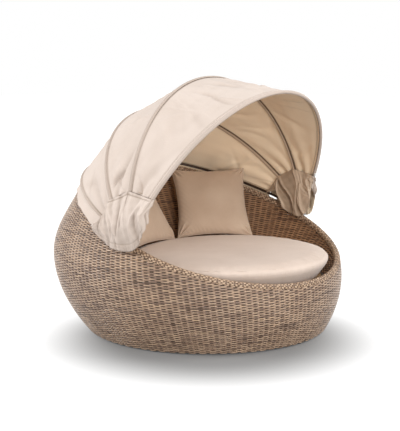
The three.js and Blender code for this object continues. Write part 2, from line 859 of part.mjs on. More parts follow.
function addClips() {
  const turn = turnAt(hoops.hem, clipReach);
  addPiece("hem_clip_right", saddleClip(turn), "plastic");
  addPiece("hem_clip_rear", saddleClip(Math.PI / 2), "plastic");
  addPiece("hem_clip_left", saddleClip(Math.PI - turn), "plastic");
}

// Hood cloth. Each gore is stretched from one hoop to the next, touches both from outside
// and sags a little between them. Its two edges wrap over the hoops.
const hoopOrder = [hoops.hem, hoops.back, hoops.crown, hoops.front];

// A gore's ends on its two hoops, its direction and the outward direction at each hoop.
function goreSpan(index, along) {
  const [low, high] = [hoopOrder[index], hoopOrder[index + 1]];
  const [lowTurn, highTurn] = [turnOfHoop(low, along), turnOfHoop(high, along)];
  const from = hoopPoint(low, lowTurn);
  const to = hoopPoint(high, highTurn);
  const direction = to.clone().sub(from).normalize();
  const outAtLow = hoopTangent(low, lowTurn).cross(direction).normalize();
  const outAtHigh = hoopTangent(high, highTurn).cross(direction).normalize();
  const away = from.clone().sub(new THREE.Vector3(0, hingeY, hingeHeight));
  if (outAtLow.dot(away) < 0) outAtLow.negate();
  if (outAtHigh.dot(away) < 0) outAtHigh.negate();
  return { from, to, direction, outAtLow, outAtHigh };
}

// The outward direction where two cloths meet on a hoop.
function ridgeDirection(order, along) {
  if (order === 0) {
    const span = goreSpan(0, along);
    return span.outAtLow.clone().add(levelOutward(span.from)).normalize();
  }
  const below = goreSpan(order - 1, along);
  if (order < gorePlaces) return below.outAtHigh.clone().add(goreSpan(order, along).outAtLow).normalize();
  return sleeveDirection(below, sleeveTurn);
}

// The front gore carries on over the front hoop as a sleeve.
function sleeveDirection(span, turn) {
  return span.outAtHigh
    .clone()
    .multiplyScalar(Math.cos(turn))
    .addScaledVector(span.direction, Math.sin(turn));
}

function sleevePoint(along, lift) {
  const span = goreSpan(gorePlaces - 1, along);
  return span.to.clone().addScaledVector(sleeveDirection(span, sleeveTurn / 2), lift);
}

const gorePlaces = hoopOrder.length - 1;

function levelOutward(point) {
  return new THREE.Vector3(point.x, point.y - bowlCentreY - bowlLeanShare * point.z, 0).normalize();
}

function goreRow(index, along, up, lift) {
  const { from, to, outAtLow, outAtHigh } = goreSpan(index, along);
  const sag = clothSag * 4 * up * (1 - up) * Math.sin(Math.PI * along);
  const out = outAtLow.lerp(outAtHigh, up).normalize();
  return from.lerp(to, up).addScaledVector(out, lift - sag);
}

function goreColumn(index, along, lift) {
  const { from, to, direction } = goreSpan(index, along);
  const gap = touchGap / 2;
  const edge = (point, order, inward) =>
    point.addScaledVector(ridgeDirection(order, along), lift).addScaledVector(direction, inward);
  const lowEdge = edge(from, index, gap);
  const highEdge = edge(to, index + 1, -gap);
  const shares = Array.from({ length: goreRows + 1 }, (_, i) => i / goreRows);
  const between = shares.map((share) => goreRow(index, along, share, lift));
  if (index + 1 < gorePlaces) return [lowEdge, ...between, highEdge];
  return [lowEdge, ...between, sleevePoint(along, lift), highEdge];
}

const clothInside = hoopTubeRadius + clothGap;

function gore(index) {
  const grid = (lift) =>
    Array.from({ length: goreSteps + 1 }, (_, j) => goreColumn(index, j / goreSteps, lift));
  return sheet(grid(clothInside + clothThickness), grid(clothInside));
}

// The hem skirt hangs from the lowest hoop over the outside of the bowl.
function skirtColumn(along, lift) {
  const onHoop = goreSpan(0, along).from;
  const out = levelOutward(onHoop);
  const top = onHoop.clone().addScaledVector(ridgeDirection(0, along), lift);
  top.z -= seamGap;
  const beside = onHoop.clone().addScaledVector(out, lift);
  const hanging = Array.from({ length: skirtRows }, (_, i) => {
    const share = (i + 1) / skirtRows;
    const z = onHoop.z - skirtDrop * share;
    const centreY = bowlCentreY + bowlLeanShare * z;
    const besideRadius = Math.hypot(beside.x, beside.y - centreY);
    const hemRadius = bowlRadius(z) + skirtStandoff + lift - clothInside;
    const radius = Math.max(lerp(besideRadius, hemRadius, share), hemRadius);
    const scale = radius / besideRadius;
    return new THREE.Vector3(beside.x * scale, centreY + (beside.y - centreY) * scale, z);
  });
  return [top, beside, ...hanging];
}

function skirt() {
  const grid = (lift) =>
    Array.from({ length: goreSteps + 1 }, (_, j) =>
      skirtColumn(lerp(skirtEndShare, 1 - skirtEndShare, j / goreSteps), lift),
    );
  return sheet(grid(clothInside + clothThickness), grid(clothInside));
}

// A corner panel is gathered from the seam under the gores down round the hinge to its hem.
function seamPoint(share, side, lift) {
  const at = share * gorePlaces;
  const index = Math.min(Math.floor(at), gorePlaces - 1);
  return goreRow(index, side > 0 ? 0 : 1, at - index, lift);
}

const hemCurve = new THREE.CatmullRomCurve3(
  cornerHemShares.map(([y, z]) => new THREE.Vector3(0, y, z).multiplyScalar(seamReach)),
);

function hemPoint(share, side, out) {
  const { y, z } = hemCurve.getPointAt(share);
  const place = new THREE.Vector3(0, hingeY + y, hingeHeight + z);
  const centreY = bowlCentreY + bowlLeanShare * place.z;
  const radius = bowlRadius(Math.min(place.z, rimMiddleHeight)) + skirtStandoff;
  const onBowl = Math.sqrt(radius ** 2 - (place.y - centreY) ** 2);
  place.x = side * (Math.max(onBowl, nutTip + cornerOverNut) + out);
  return place;
}

function cornerPoint(share, down, side, lift) {
  const seam = seamPoint(share, side, lift);
  const hem = hemPoint(share, side, lift - clothInside);
  const drop = hem.clone().sub(seam).normalize();
  const point = seam.clone().lerp(hem, down).addScaledVector(drop, seamGap * (1 - down));
  const spread = Math.sin((Math.min(1, down / cornerSpreadShare) * Math.PI) / 2);
  point.x = lerp(seam.x, hem.x, spread);
  const swell = Math.sin(Math.PI * Math.pow(down, 0.8));
  const fold = cornerFold * Math.cos(FULL_TURN * cornerFoldCount * share);
  point.x += side * swell * (cornerPuff + fold);
  return point;
}

function cornerPanel(side) {
  const grid = (lift) =>
    Array.from({ length: cornerRows + 1 }, (_, i) =>
      Array.from({ length: cornerSteps + 1 }, (_, j) =>
        cornerPoint(j / cornerSteps, i / cornerRows, side, lift),
      ),
    );
  return sheet(grid(clothInside + clothThickness), grid(clothInside));
}

function addCloth() {
  addPiece("rear_gore", gore(0), "cloth");
  addPiece("middle_gore", gore(1), "cloth");
  addPiece("front_gore", gore(2), "cloth");
  addPiece("hem_skirt", skirt(), "cloth");
  addPiece("corner_panel_left", cornerPanel(-1), "cloth");
  addPiece("corner_panel_right", cornerPanel(1), "cloth");
}

addBowl();
addFrame();
addCushions();
addHoops();
addHinges();
addClips();
addCloth();

export default daybed;
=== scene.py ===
import json

import bpy
import numpy as np
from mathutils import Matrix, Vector


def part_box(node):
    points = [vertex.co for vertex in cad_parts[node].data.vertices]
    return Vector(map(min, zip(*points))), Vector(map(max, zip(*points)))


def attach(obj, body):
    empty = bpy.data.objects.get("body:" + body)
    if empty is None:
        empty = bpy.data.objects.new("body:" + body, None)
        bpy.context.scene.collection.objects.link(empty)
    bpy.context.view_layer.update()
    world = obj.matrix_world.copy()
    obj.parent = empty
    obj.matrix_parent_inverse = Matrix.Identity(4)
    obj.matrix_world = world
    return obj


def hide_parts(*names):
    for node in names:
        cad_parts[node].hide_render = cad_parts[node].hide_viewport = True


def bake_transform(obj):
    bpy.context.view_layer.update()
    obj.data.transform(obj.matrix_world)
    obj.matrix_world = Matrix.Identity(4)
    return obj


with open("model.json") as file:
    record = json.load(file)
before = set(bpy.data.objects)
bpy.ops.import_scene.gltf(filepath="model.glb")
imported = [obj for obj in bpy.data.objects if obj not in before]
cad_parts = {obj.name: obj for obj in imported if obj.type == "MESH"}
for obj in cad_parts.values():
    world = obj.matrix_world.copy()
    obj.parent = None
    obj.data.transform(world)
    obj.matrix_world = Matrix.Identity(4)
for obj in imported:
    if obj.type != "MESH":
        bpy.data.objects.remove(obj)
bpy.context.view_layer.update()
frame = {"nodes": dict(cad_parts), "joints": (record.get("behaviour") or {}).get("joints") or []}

# Camera
# The daybed is seen from its front left and a little from above, through a long lens.
camera_place = (-4.9065, -4.5437, 1.6939)
camera_aim = (-0.068, -0.082, 0.694)
camera_lens = 89.5
camera_sensor = 36

camera = bpy.data.objects.new("camera", bpy.data.cameras.new("camera"))
camera.data.lens = camera_lens
camera.data.sensor_width = camera_sensor
camera.location = camera_place
camera.rotation_euler = (Vector(camera_aim) - Vector(camera_place)).to_track_quat("-Z", "Y").to_euler()
bpy.context.scene.collection.objects.link(camera)
bpy.context.scene.camera = camera

# Outer weave
# The bowl's outside is woven by hand from flat synthetic rattan. Level strands run over and
# under upright stakes, and the slanting rim cuts the rows off.
full_turn = 2 * np.pi
bowl_centre_y = -0.082
bowl_base_radius = 0.746
bowl_belly_radius = 0.900
bowl_belly_height = 0.400
bowl_neck_radius = 0.624
bowl_neck_height = 0.997
bowl_lean_share = 0.206
bowl_neck_power = 1.2
rim_middle_height = 0.677
rim_slope_share = 0.384
rim_end_drop = 0.033
rim_band_radius = 0.020
rim_band_proud = 0.002
rim_band_drop_share = 0.7

outer_stake_count = 160
steps_per_stake = 4
outer_row_pitch = 0.00765
outer_foot_height = 0.010
strand_width = 0.0098
stake_width = 0.0070
strand_thickness = 0.0026
stake_thickness = 0.0012
strand_wave = 0.0030
strand_squareness = 4.0
strand_over_share = 0.66
strand_section = np.array([[-1.0, 0.0, 0.62], [-0.6, 1.0, 1.0], [0.6, 1.0, 1.0], [1.0, 0.0, 0.62]])
row_wander = 0.0005
row_fine_wander = 0.0003
weave_depth = 0.0045
weave_under_band = 0.006
stake_depth = weave_depth - strand_thickness / 2 + stake_thickness / 2
stake_places = 16
weave_first_angle = -np.pi / 2
most_faces = 92000


def bowl_radius(z):
    """A parabola from the foot up to the belly, then an S curve from the belly in to the neck."""
    short = np.clip((bowl_belly_height - z) / bowl_belly_height, 0, 1)
    low = bowl_belly_radius - (bowl_belly_radius - bowl_base_radius) * short**2
    rise = np.clip((z - bowl_belly_height) / (bowl_neck_height - bowl_belly_height), 0, 1) ** bowl_neck_power
    high = bowl_belly_radius + (bowl_neck_radius - bowl_belly_radius) * rise**2 * (3 - 2 * rise)
    return np.where(z < bowl_belly_height, low, high)


def unit(vectors):
    """Each vector divided by its length."""
    return vectors / np.linalg.norm(vectors, axis=-1, keepdims=True)


def stacked(x, y, z):
    """Three coordinates, spread to one shape, as points."""
    return np.stack(np.broadcast_arrays(x, y, z), axis=-1)


def bowl_frame(angle, z):
    """A point of the bowl with the direction out of it and the direction up it. The circle at each
    height is centred further back the higher it lies; out is square to both directions along it."""
    radius = bowl_radius(z)
    point = stacked(radius * np.cos(angle), bowl_centre_y + bowl_lean_share * z + radius * np.sin(angle), z)
    step = 0.001
    flare = (bowl_radius(z + step) - bowl_radius(z - step)) / (2 * step)
    slope = flare + bowl_lean_share * np.sin(angle)
    outward = unit(stacked(np.cos(angle), np.sin(angle), -slope))
    upward = unit(stacked(slope * np.cos(angle), slope * np.sin(angle), 1.0))
    return point, outward, upward


def rim_height(y):
    """A slanting line over y, bent down at the rear and up at the front by a cube."""
    from_middle = y - bowl_centre_y
    bend = rim_end_drop * (from_middle / bowl_belly_radius) ** 3
    return rim_middle_height + rim_slope_share * from_middle - bend


def rim_centre(angle):
    """Middle of the rim: where the cut meets the bowl, set in and down by shares of the band's
    radius. The height of the cut is found by stepping half way towards it."""
    z = np.full(np.shape(angle), rim_middle_height)
    for _ in range(60):
        z = (z + rim_height(bowl_frame(angle, z)[0][..., 1])) / 2
    edge, outward, upward = bowl_frame(angle, z)
    set_in = rim_band_proud - rim_band_radius
    return edge + set_in * outward - rim_band_radius * rim_band_drop_share * upward


def rim_frame(angle):
    """The rim's middle with the directions along it, out of the bowl, and down from it."""
    step = full_turn / 720
    centre = rim_centre(angle)
    along = unit(rim_centre(angle + step) - rim_centre(angle - step))
    radial = stacked(np.cos(angle), np.sin(angle), 0.0)
    out = unit(radial - np.sum(radial * along, axis=-1, keepdims=True) * along)
    down = np.cross(along, out)
    down = np.where(down[..., 2:] > 0, -down, down)
    return centre, along, out, down


def ring_faces(rings, sides, closed):
    """Four-cornered faces between each ring of points and the next, and from the last ring to the
    first where the run is closed."""
    ring = np.arange(rings if closed else rings - 1)[:, None]
    side = np.arange(sides)[None, :]
    after, beside = (ring + 1) % rings, (side + 1) % sides
    corners = [sides * ring + side, sides * ring + beside, sides * after + beside, sides * after + side]
    return np.stack(corners, axis=-1).reshape(-1, 4)


def strand(centre, outward, across, width, thickness, closed=False):
    """A flat strand with a rounded face. Its section is a low trapezium with its long side at the
    back, set at each step across the strand and outward from its line."""
    sides = strand_section[:, 0] * width / 2
    rises = strand_section[:, 1] * thickness
    points = centre[:, None] + sides[:, None] * across[:, None] + rises[:, None] * outward[:, None]
    faces = ring_faces(len(centre), 4, closed)
    if not closed:
        last = 4 * len(centre) - 4
        faces = np.concatenate([faces, [[3, 2, 1, 0], [last, last + 1, last + 2, last + 3]]])
    return points.reshape(-1, 3), faces


def strand_marks(length_along, number, width, rise=1.0):
    """For the material: metres along the strand, the strand's number, place across it, and how far out of the
    weave it lies, from 0 at its deepest to 1. The material paints shade by this last mark."""
    sides = strand_section[:, 0] * width / 2
    rises = np.broadcast_to(rise, length_along.shape)[:, None] * strand_section[:, 2]
    marks = np.broadcast_arrays(length_along[:, None], float(number), sides[None, :], rises)
    return np.stack(marks, axis=-1).reshape(-1, 4)


def joined(parts):
    """Several pieces' points, faces and marks as one set, with the faces counted on."""
    starts = np.cumsum([0] + [len(points) for points, _, _ in parts[:-1]])
    points = np.concatenate([points for points, _, _ in parts])
    faces = np.concatenate([faces + start for (_, faces, _), start in zip(parts, starts)])
    return points, faces, np.concatenate([marks for _, _, marks in parts])


def turned_out(points, faces):
    """The faces, all turned round if the closed shape's signed volume is negative."""
    first, second, third, fourth = (points[faces[:, corner]] for corner in range(4))
    volume = np.sum(first * np.cross(second, third)) + np.sum(first * np.cross(third, fourth))
    return faces if volume > 0 else faces[:, ::-1]


def new_piece(name, points, faces, marks=None, materials=(), face_material=None):
    """A smooth mesh object at the origin, from arrays of points and of four-cornered faces. A fourth
    column of marks becomes an attribute of its own."""
    faces = turned_out(points, faces)
    mesh = bpy.data.meshes.new(name)
    mesh.vertices.add(len(points))
    mesh.vertices.foreach_set("co", points.astype(np.float32).ravel())
    mesh.loops.add(faces.size)
    mesh.loops.foreach_set("vertex_index", faces.astype(np.int32).ravel())
    mesh.polygons.add(len(faces))
    mesh.polygons.foreach_set("loop_start", np.arange(0, faces.size, 4, dtype=np.int32))
    mesh.polygons.foreach_set("use_smooth", np.ones(len(faces), bool))
    if marks is not None:
        strand_places = mesh.attributes.new("marks", "FLOAT_VECTOR", "POINT")
        strand_places.data.foreach_set("vector", marks[:, :3].astype(np.float32).ravel())
    if marks is not None and marks.shape[1] > 3:
        rise = mesh.attributes.new("shade", "FLOAT", "POINT")
        rise.data.foreach_set("value", marks[:, 3].astype(np.float32))
    for material in materials:
        mesh.materials.append(material)
    if face_material is not None:
        mesh.polygons.foreach_set("material_index", face_material.astype(np.int32))
    mesh.update(calc_edges=True)
    piece = bpy.data.objects.new(name, mesh)
    bpy.context.scene.collection.objects.link(piece)
    return piece


def hand_over(piece, body, stands_for=None):
    """The piece moves with a body. Where it shows a solid of the part, it takes that solid's place."""
    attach(piece, body)
    if stands_for:
        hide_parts(stands_for)


def weave_rows(surface, heights, limit, stake_count):
    """Level strands on a wall. Row k weaves in and out as a raised cosine squared off by tanh, so
    that it lies in front for most of its length and dips behind every other stake, over the run of
    angles where the wall is higher than the row."""
    steps = stake_count * steps_per_stake
    angle = weave_first_angle + full_turn * np.arange(steps) / steps
    top = limit(angle)
    rows = []
    for number, z in enumerate(heights):
        inside = np.flatnonzero(top > z)
        closed = len(inside) == steps
        if len(inside) < 4:
            continue
        at = angle if closed else angle[inside[0] : inside[-1] + 1]
        wander = row_wander * np.sin(5 * at + 1.7 * number)
        wander = wander + row_fine_wander * np.sin(23 * at + 2.9 * number)
        point, outward, upward = surface(at, z + wander)
        swing = np.cos(stake_count / 2 * at + np.pi * number) + strand_over_share
        swing = np.tanh(strand_squareness * swing)
        centre = point + (strand_wave * swing - weave_depth)[:, None] * outward
        points, faces = strand(centre, outward, upward, strand_width, strand_thickness, closed)
        reach = np.hypot(point[:, 0], point[:, 1] - bowl_centre_y)
        rows.append((points, faces, strand_marks(at * reach.mean(), number, strand_width, (swing + 1) / 2)))
    return rows


def in_portions(rows):
    """The rows in groups of limited face counts."""
    groups = [[]]
    count = 0
    for row in rows:
        if count + len(row[1]) > most_faces:
            groups.append([])
            count = 0
        groups[-1].append(row)
        count += len(row[1])
    return groups


def joins(tree, node, sockets):
    """Sets each named or numbered socket, or links it where the value is another node's socket."""
    for socket, value in sockets.items():
        if isinstance(value, bpy.types.NodeSocket):
            tree.links.new(value, node.inputs[socket])
        else:
            node.inputs[socket].default_value = value


def add_node(tree, kind, *numbered, **named):
    """A node with its first sockets set in order and others by name, where a low line stands for a
    space. Names that the node has as settings are set as such."""
    node = tree.nodes.new(kind)
    settings = [name for name in named if hasattr(node, name)]
    for name in settings:
        setattr(node, name, named[name])
    joins(tree, node, dict(enumerate(numbered)))
    joins(tree, node, {name.replace("_", " "): named[name] for name in named if name not in settings})
    return node


def scaled(tree, vector, by):
    """A vector socket times three fixed numbers."""
    return add_node(tree, "ShaderNodeVectorMath", vector, by, operation="MULTIPLY").outputs[0]


def noise(tree, vector, scale=1.0, **more):
    """Smooth noise of 0 to 1 over a vector socket."""
    return add_node(tree, "ShaderNodeTexNoise", Vector=vector, Scale=scale, **more).outputs["Fac"]


def attribute(tree, name, output):
    """One of the mesh's own attributes."""
    return add_node(tree, "ShaderNodeAttribute", attribute_name=name).outputs[output]


def tones(tree, factor, colours):
    """A colour ramp through (place, colour) pairs."""
    ramp = tree.nodes.new("ShaderNodeValToRGB")
    elements = ramp.color_ramp.elements
    while len(elements) < len(colours):
        elements.new(0.5)
    for element, (place, colour) in zip(elements, colours):
        element.position = place
        element.color = (*colour, 1)
    tree.links.new(factor, ramp.inputs["Fac"])
    return ramp.outputs["Color"]


def multiplied(tree, first, second):
    """Two colours multiplied."""
    node = add_node(tree, "ShaderNodeMix", 1.0, data_type="RGBA", blend_type="MULTIPLY")
    joins(tree, node, {6: first, 7: second})
    return node.outputs[2]


def linear(red, green, blue):
    """A screen colour of 0 to 255 as the linear colour that a shader takes."""
    shares = np.array([red, green, blue]) / 255
    return tuple(np.where(shares <= 0.04045, shares / 12.92, ((shares + 0.055) / 1.055) ** 2.4))


def shader(name):
    """A new material with its tree and its surface shader."""
    material = bpy.data.materials.new(name)
    material.use_nodes = True
    return material, material.node_tree, material.node_tree.nodes["Principled BSDF"]


def look(tree, surface, **named):
    """Sets or links a shader's sockets by name, where a low line stands for a space."""
    joins(tree, surface, {name.replace("_", " "): value for name, value in named.items()})


def bumped(tree, surface, height, strength, distance):
    """The height as a bump on the surface shader's normal."""
    bump = add_node(tree, "ShaderNodeBump", Strength=strength, Distance=distance, Height=height)
    tree.links.new(bump.outputs["Normal"], surface.inputs["Normal"])


def rattan(name, colours, roughness):
    """Extruded strand: each strand has its own tone, drawn out in long streaks, with fine grooves along it.
    Tone is noise over the strand's number and slowly over its length. It is darkened by a painted shade that
    the strand carries, deepest where it dips behind a stake."""
    material, tree, surface = shader(name)
    marks = attribute(tree, "marks", "Vector")
    tone = noise(tree, scaled(tree, marks, (3.1, 7.7, 0)), Detail=2.0)
    streak = noise(tree, scaled(tree, marks, (14, 5.3, 700)), Detail=3.0)
    grain = noise(tree, scaled(tree, marks, (60, 3.9, 2600)), Detail=1.0)
    base = tones(tree, tone, list(zip(np.linspace(0.30, 0.70, len(colours)), colours)))
    streak_tones = [(0.3, (0.60, 0.56, 0.54)), (0.5, (0.94, 0.93, 0.92)), (0.72, (1.2, 1.18, 1.14))]
    # Painted shade: the strand's shade mark darkens it where it lies deep in the weave.
    recess_shade_tones = [(0.06, (0.06, 0.046, 0.04)), (0.5, (0.42, 0.38, 0.36)), (0.82, (1.0, 1.0, 1.0))]
    recess_shade = tones(tree, attribute(tree, "shade", "Fac"), recess_shade_tones)
    colour = multiplied(tree, multiplied(tree, base, tones(tree, streak, streak_tones)), recess_shade)
    look(tree, surface, Base_Color=colour, Roughness=roughness, Specular_IOR_Level=0.5)
    bumped(tree, surface, grain, 0.35, 0.0006)
    return material


outer_tones = [
    linear(106, 84, 69),
    linear(160, 132, 111),
    linear(194, 166, 141),
    linear(138, 114, 98),
    linear(202, 172, 143),
]
outer_rattan = rattan("outer_rattan", outer_tones, 0.28)
stake_rattan = rattan("stake_rattan", [linear(104, 84, 66), linear(128, 106, 84), linear(92, 74, 60)], 0.5)

def upright_stakes(surface, limit, foot, count):
    """Upright strands, evenly round a wall from its foot to just under the rim."""
    stakes = []
    for number in range(count):
        angle = weave_first_angle + full_turn * number / count
        top = float(limit(np.array([angle]))[0])
        z = np.linspace(foot, top, stake_places)
        point, outward, upward = surface(np.full(stake_places, angle), z)
        sideways = np.cross(upward, outward)
        points, faces = strand(point - stake_depth * outward, outward, sideways, stake_width, stake_thickness)
        # The stakes carry a fixed shade of 0.6: painted shade, darker behind the strands.
        stakes.append((points, faces, strand_marks(z, number * 3.7, stake_width, 0.6)))
    return stakes


def woven_wall(side, rows, stakes, row_look, stake_look):
    """The rows of the inner or outer wall, in portions, and then its stakes."""
    for number, portion in enumerate(in_portions(rows)):
        piece = new_piece(f"{side}_weave_rows_{number + 1}", *joined(portion), materials=[row_look])
        hand_over(piece, "base", f"{side}_weave")
    piece = new_piece(f"{side}_weave_stakes", *joined(stakes), materials=[stake_look])
    hand_over(piece, "base", f"{side}_weave")


def rim_top(angle):
    """Height of the rim's middle round the bowl."""
    return rim_centre(angle)[:, 2]


profile_z = np.linspace(outer_foot_height, bowl_neck_height + 0.1, 2000)
profile_run = np.hypot(np.diff(bowl_radius(profile_z)), np.diff(profile_z))
profile_length = np.concatenate([[0], np.cumsum(profile_run)])
outer_heights = np.interp(np.arange(0, profile_length[-1], outer_row_pitch), profile_length, profile_z)
outer_limit = lambda angle: rim_top(angle) - weave_under_band
rows = weave_rows(bowl_frame, outer_heights, outer_limit, outer_stake_count)
stakes = upright_stakes(bowl_frame, rim_top, outer_foot_height - strand_width / 2, outer_stake_count)
woven_wall("outer", rows, stakes, outer_rattan, stake_rattan)

# Inner weave
# The same weave lines the inside, straight from the rim down to the seat ring. It is a darker
# brown and lies in the shade of the hood.
seat_centre_y = -0.272
seat_ring_radius = 0.575
inner_foot_height = 0.3405
inner_stake_count = 120
inner_under_band = 0.014
inner_row_pitch = 0.0062

rim_angles = full_turn * np.arange(721) / 720 - np.pi / 2
rim_points = rim_centre(rim_angles)
rim_facing = np.unwrap(np.arctan2(rim_points[:, 1] - seat_centre_y, rim_points[:, 0]))
rim_reach = np.hypot(rim_points[:, 0], rim_points[:, 1] - seat_centre_y)


def inner_top(facing):
    """Height of the rim's middle in a direction from the middle of the seat."""
    return np.interp(facing, rim_facing, rim_points[:, 2])


def inner_frame(facing, z):
    """The inner wall: in each direction from the middle of the seat a straight line from the seat
    ring up to the rim, with the directions into the seat space and up the wall."""
    run = np.interp(facing, rim_facing, rim_reach) - seat_ring_radius
    climb = inner_top(facing) - inner_foot_height
    radius = seat_ring_radius + run * (z - inner_foot_height) / climb
    point = stacked(radius * np.cos(facing), seat_centre_y + radius * np.sin(facing), z)
    upward = unit(stacked(run / climb * np.cos(facing), run / climb * np.sin(facing), 1.0))
    inward = unit(stacked(-np.cos(facing), -np.sin(facing), run / climb))
    return point, inward, upward


inner_tones = [linear(112, 82, 62), linear(152, 116, 86), linear(170, 132, 100), linear(128, 98, 76)]
inner_rattan = rattan("inner_rattan", inner_tones, 0.45)
inner_stake_rattan = rattan("inner_stake_rattan", [linear(92, 70, 52), linear(110, 86, 64)], 0.55)
inner_heights = np.arange(inner_foot_height + inner_row_pitch / 2, bowl_neck_height, inner_row_pitch)
inner_limit = lambda facing: inner_top(facing) - inner_under_band
rows = weave_rows(inner_frame, inner_heights, inner_limit, inner_stake_count)
stakes = upright_stakes(inner_frame, inner_top, inner_foot_height, inner_stake_count)
woven_wall("inner", rows, stakes, inner_rattan, inner_stake_rattan)

# Rim
# A tube of the frame is wound with flat strands and then plaited over, six strands each way,
# so that a band of diamonds runs round the rim.
braid_strands_each_way = 6
braid_turns = 40
braid_steps_per_turn = 24
braid_radius = 0.0180
braid_wave = 0.0015
braid_strand_width = 0.0104
braid_strand_thickness = 0.0012
braid_strand_run = 7.2
winding_radius = 0.0172
winding_steps = 360
winding_sides = 20
rim_reach_for_marks = 0.8


def braid_strand(number, way):
    """A helix round the rim's line, its radius a cosine that swaps between over and under at each
    crossing with the helices of the other way."""
    steps = braid_turns * braid_steps_per_turn
    share = np.arange(steps) / steps
    centre, _, out, down = rim_frame(full_turn * share)
    turn = way * full_turn * braid_turns * share + full_turn * number / braid_strands_each_way
    outward = np.cos(turn)[:, None] * out + np.sin(turn)[:, None] * down
    crossings = 2 * braid_strands_each_way * braid_turns * share
    over = way * np.cos(np.pi * (crossings + number))
    line = centre + (braid_radius + braid_wave * over)[:, None] * outward
    onward = unit(np.roll(line, -1, axis=0) - np.roll(line, 1, axis=0))
    across = unit(np.cross(onward, outward))
    points, faces = strand(line, outward, across, braid_strand_width, braid_strand_thickness, closed=True)
    along = share * braid_strand_run
    # Painted shade: the shade mark is lower where the strand passes under, so it is darker there.
    return points, faces, strand_marks(along, number * 5.3 + way, braid_strand_width, 0.62 + 0.38 * over)


def ring_tube(line, out, down, radius, sides):
    """A closed tube round a closed line: at each step a circle in the plane of out and down."""
    turn = full_turn * np.arange(sides)[:, None] / sides
    points = line[:, None] + radius * (np.cos(turn) * out[:, None] + np.sin(turn) * down[:, None])
    return points.reshape(-1, 3), ring_faces(len(line), sides, True)


def shaded(marks, shade):
    """Marks with a fourth column, the shade."""
    return np.concatenate([marks, np.full((len(marks), 1), shade)], axis=1)


rim_tones = [linear(150, 122, 100), linear(196, 166, 138), linear(222, 194, 166), linear(172, 146, 120)]
rim_rattan = rattan("rim_rattan", rim_tones, 0.42)
braid = [braid_strand(number, way) for number in range(braid_strands_each_way) for way in (1, -1)]
piece = new_piece("rim_braid", *joined(braid), materials=[rim_rattan])
hand_over(piece, "base", "rim_band")
winding_angles = full_turn * np.arange(winding_steps) / winding_steps
centre, _, out, down = rim_frame(winding_angles)
points, faces = ring_tube(centre, out, down, winding_radius, winding_sides)
along_rim = np.repeat(winding_angles * rim_reach_for_marks, winding_sides)
marks = stacked(along_rim, np.repeat(np.arange(winding_steps) // 2, winding_sides), 0.0)
# The winding carries a shade of 0.5: painted shade, darker in the gaps of the braid.
piece = new_piece("rim_winding", points, faces, shaded(marks, 0.5), [inner_rattan])
hand_over(piece, "base", "rim_band")

# Frame
# Welded aluminium tube, clear coated: rings at the floor, the seat and the rim, ribs behind the
# outer weave, and legs and slats under the seat board. Plastic glides keep it off the floor.


def own_place(tree):
    """The place in the piece's own frame."""
    return add_node(tree, "ShaderNodeTexCoord").outputs["Object"]


def ranged(tree, value, **named):
    """A value moved from one range to another."""
    return add_node(tree, "ShaderNodeMapRange", value, **named).outputs["Result"]


def satin_metal(name, colour, roughness, scale):
    """Tube with a satin coat: its roughness and tone drift in soft patches, with fine scratches."""
    material, tree, surface = shader(name)
    place = own_place(tree)
    patch = noise(tree, place, scale, Detail=4.0)
    colours = tones(tree, patch, [(0.35, tuple(0.8 * c for c in colour)), (0.65, colour)])
    rough = ranged(tree, patch, To_Min=roughness - 0.08, To_Max=roughness + 0.10)
    look(tree, surface, Base_Color=colours, Roughness=rough, Metallic=1.0)
    bumped(tree, surface, noise(tree, scaled(tree, place, (40, 40, 900))), 0.08, 0.0003)
    return material


def moulded_plastic(name, colour):
    """Moulded plastic: an even dark tone with a fine spark-eroded grain."""
    material, tree, surface = shader(name)
    place = own_place(tree)
    lighter = tuple(1.5 * c for c in colour)
    colours = tones(tree, noise(tree, place, 30.0), [(0.4, colour), (0.7, lighter)])
    look(tree, surface, Base_Color=colours, Roughness=0.55)
    bumped(tree, surface, noise(tree, place, 1400.0), 0.2, 0.0003)
    return material


def sealed_board(name, light, dark):
    """Sealed board: long grain along X with darker growth lines."""
    material, tree, surface = shader(name)
    grain = noise(tree, scaled(tree, own_place(tree), (2.5, 38, 38)), Detail=6.0)
    look(tree, surface, Base_Color=tones(tree, grain, [(0.35, dark), (0.62, light)]), Roughness=0.6)
    bumped(tree, surface, grain, 0.2, 0.0008)
    return material


def dress(material, *nodes):
    """The material on CAD nodes that keep their shape."""
    for name in nodes:
        node = frame["nodes"][name]
        node.data.materials.clear()
        node.data.materials.append(material)


frame_metal = satin_metal("frame_metal", linear(150, 150, 148), 0.42, 9.0)
bright_metal = satin_metal("bright_metal", linear(206, 206, 204), 0.24, 40.0)
dark_plastic = moulded_plastic("dark_plastic", linear(40, 37, 34))
seat_board = sealed_board("seat_board", linear(160, 128, 90), linear(112, 84, 56))
dress(frame_metal, "rim_tube", "base_ring", "seat_ring", "hinge_bracket_left", "hinge_bracket_right")
dress(frame_metal, *(f"rib_{i}" for i in range(1, 9)))
dress(frame_metal, *(f"seat_{kind}_{i}" for kind in ("leg", "slat") for i in range(1, 6)))
dress(seat_board, "seat_panel")
dress(dark_plastic, *(f"floor_glide_{i}" for i in range(1, 6)))
dress(dark_plastic, "hem_clip_left", "hem_clip_rear", "hem_clip_right")
dress(dark_plastic, *(f"{kind}_washer_{side}" for kind in ("inner", "outer") for side in ("left", "right")))
dress(bright_metal, *(f"hinge_{kind}_{side}" for kind in ("bolt", "nut") for side in ("left", "right")))

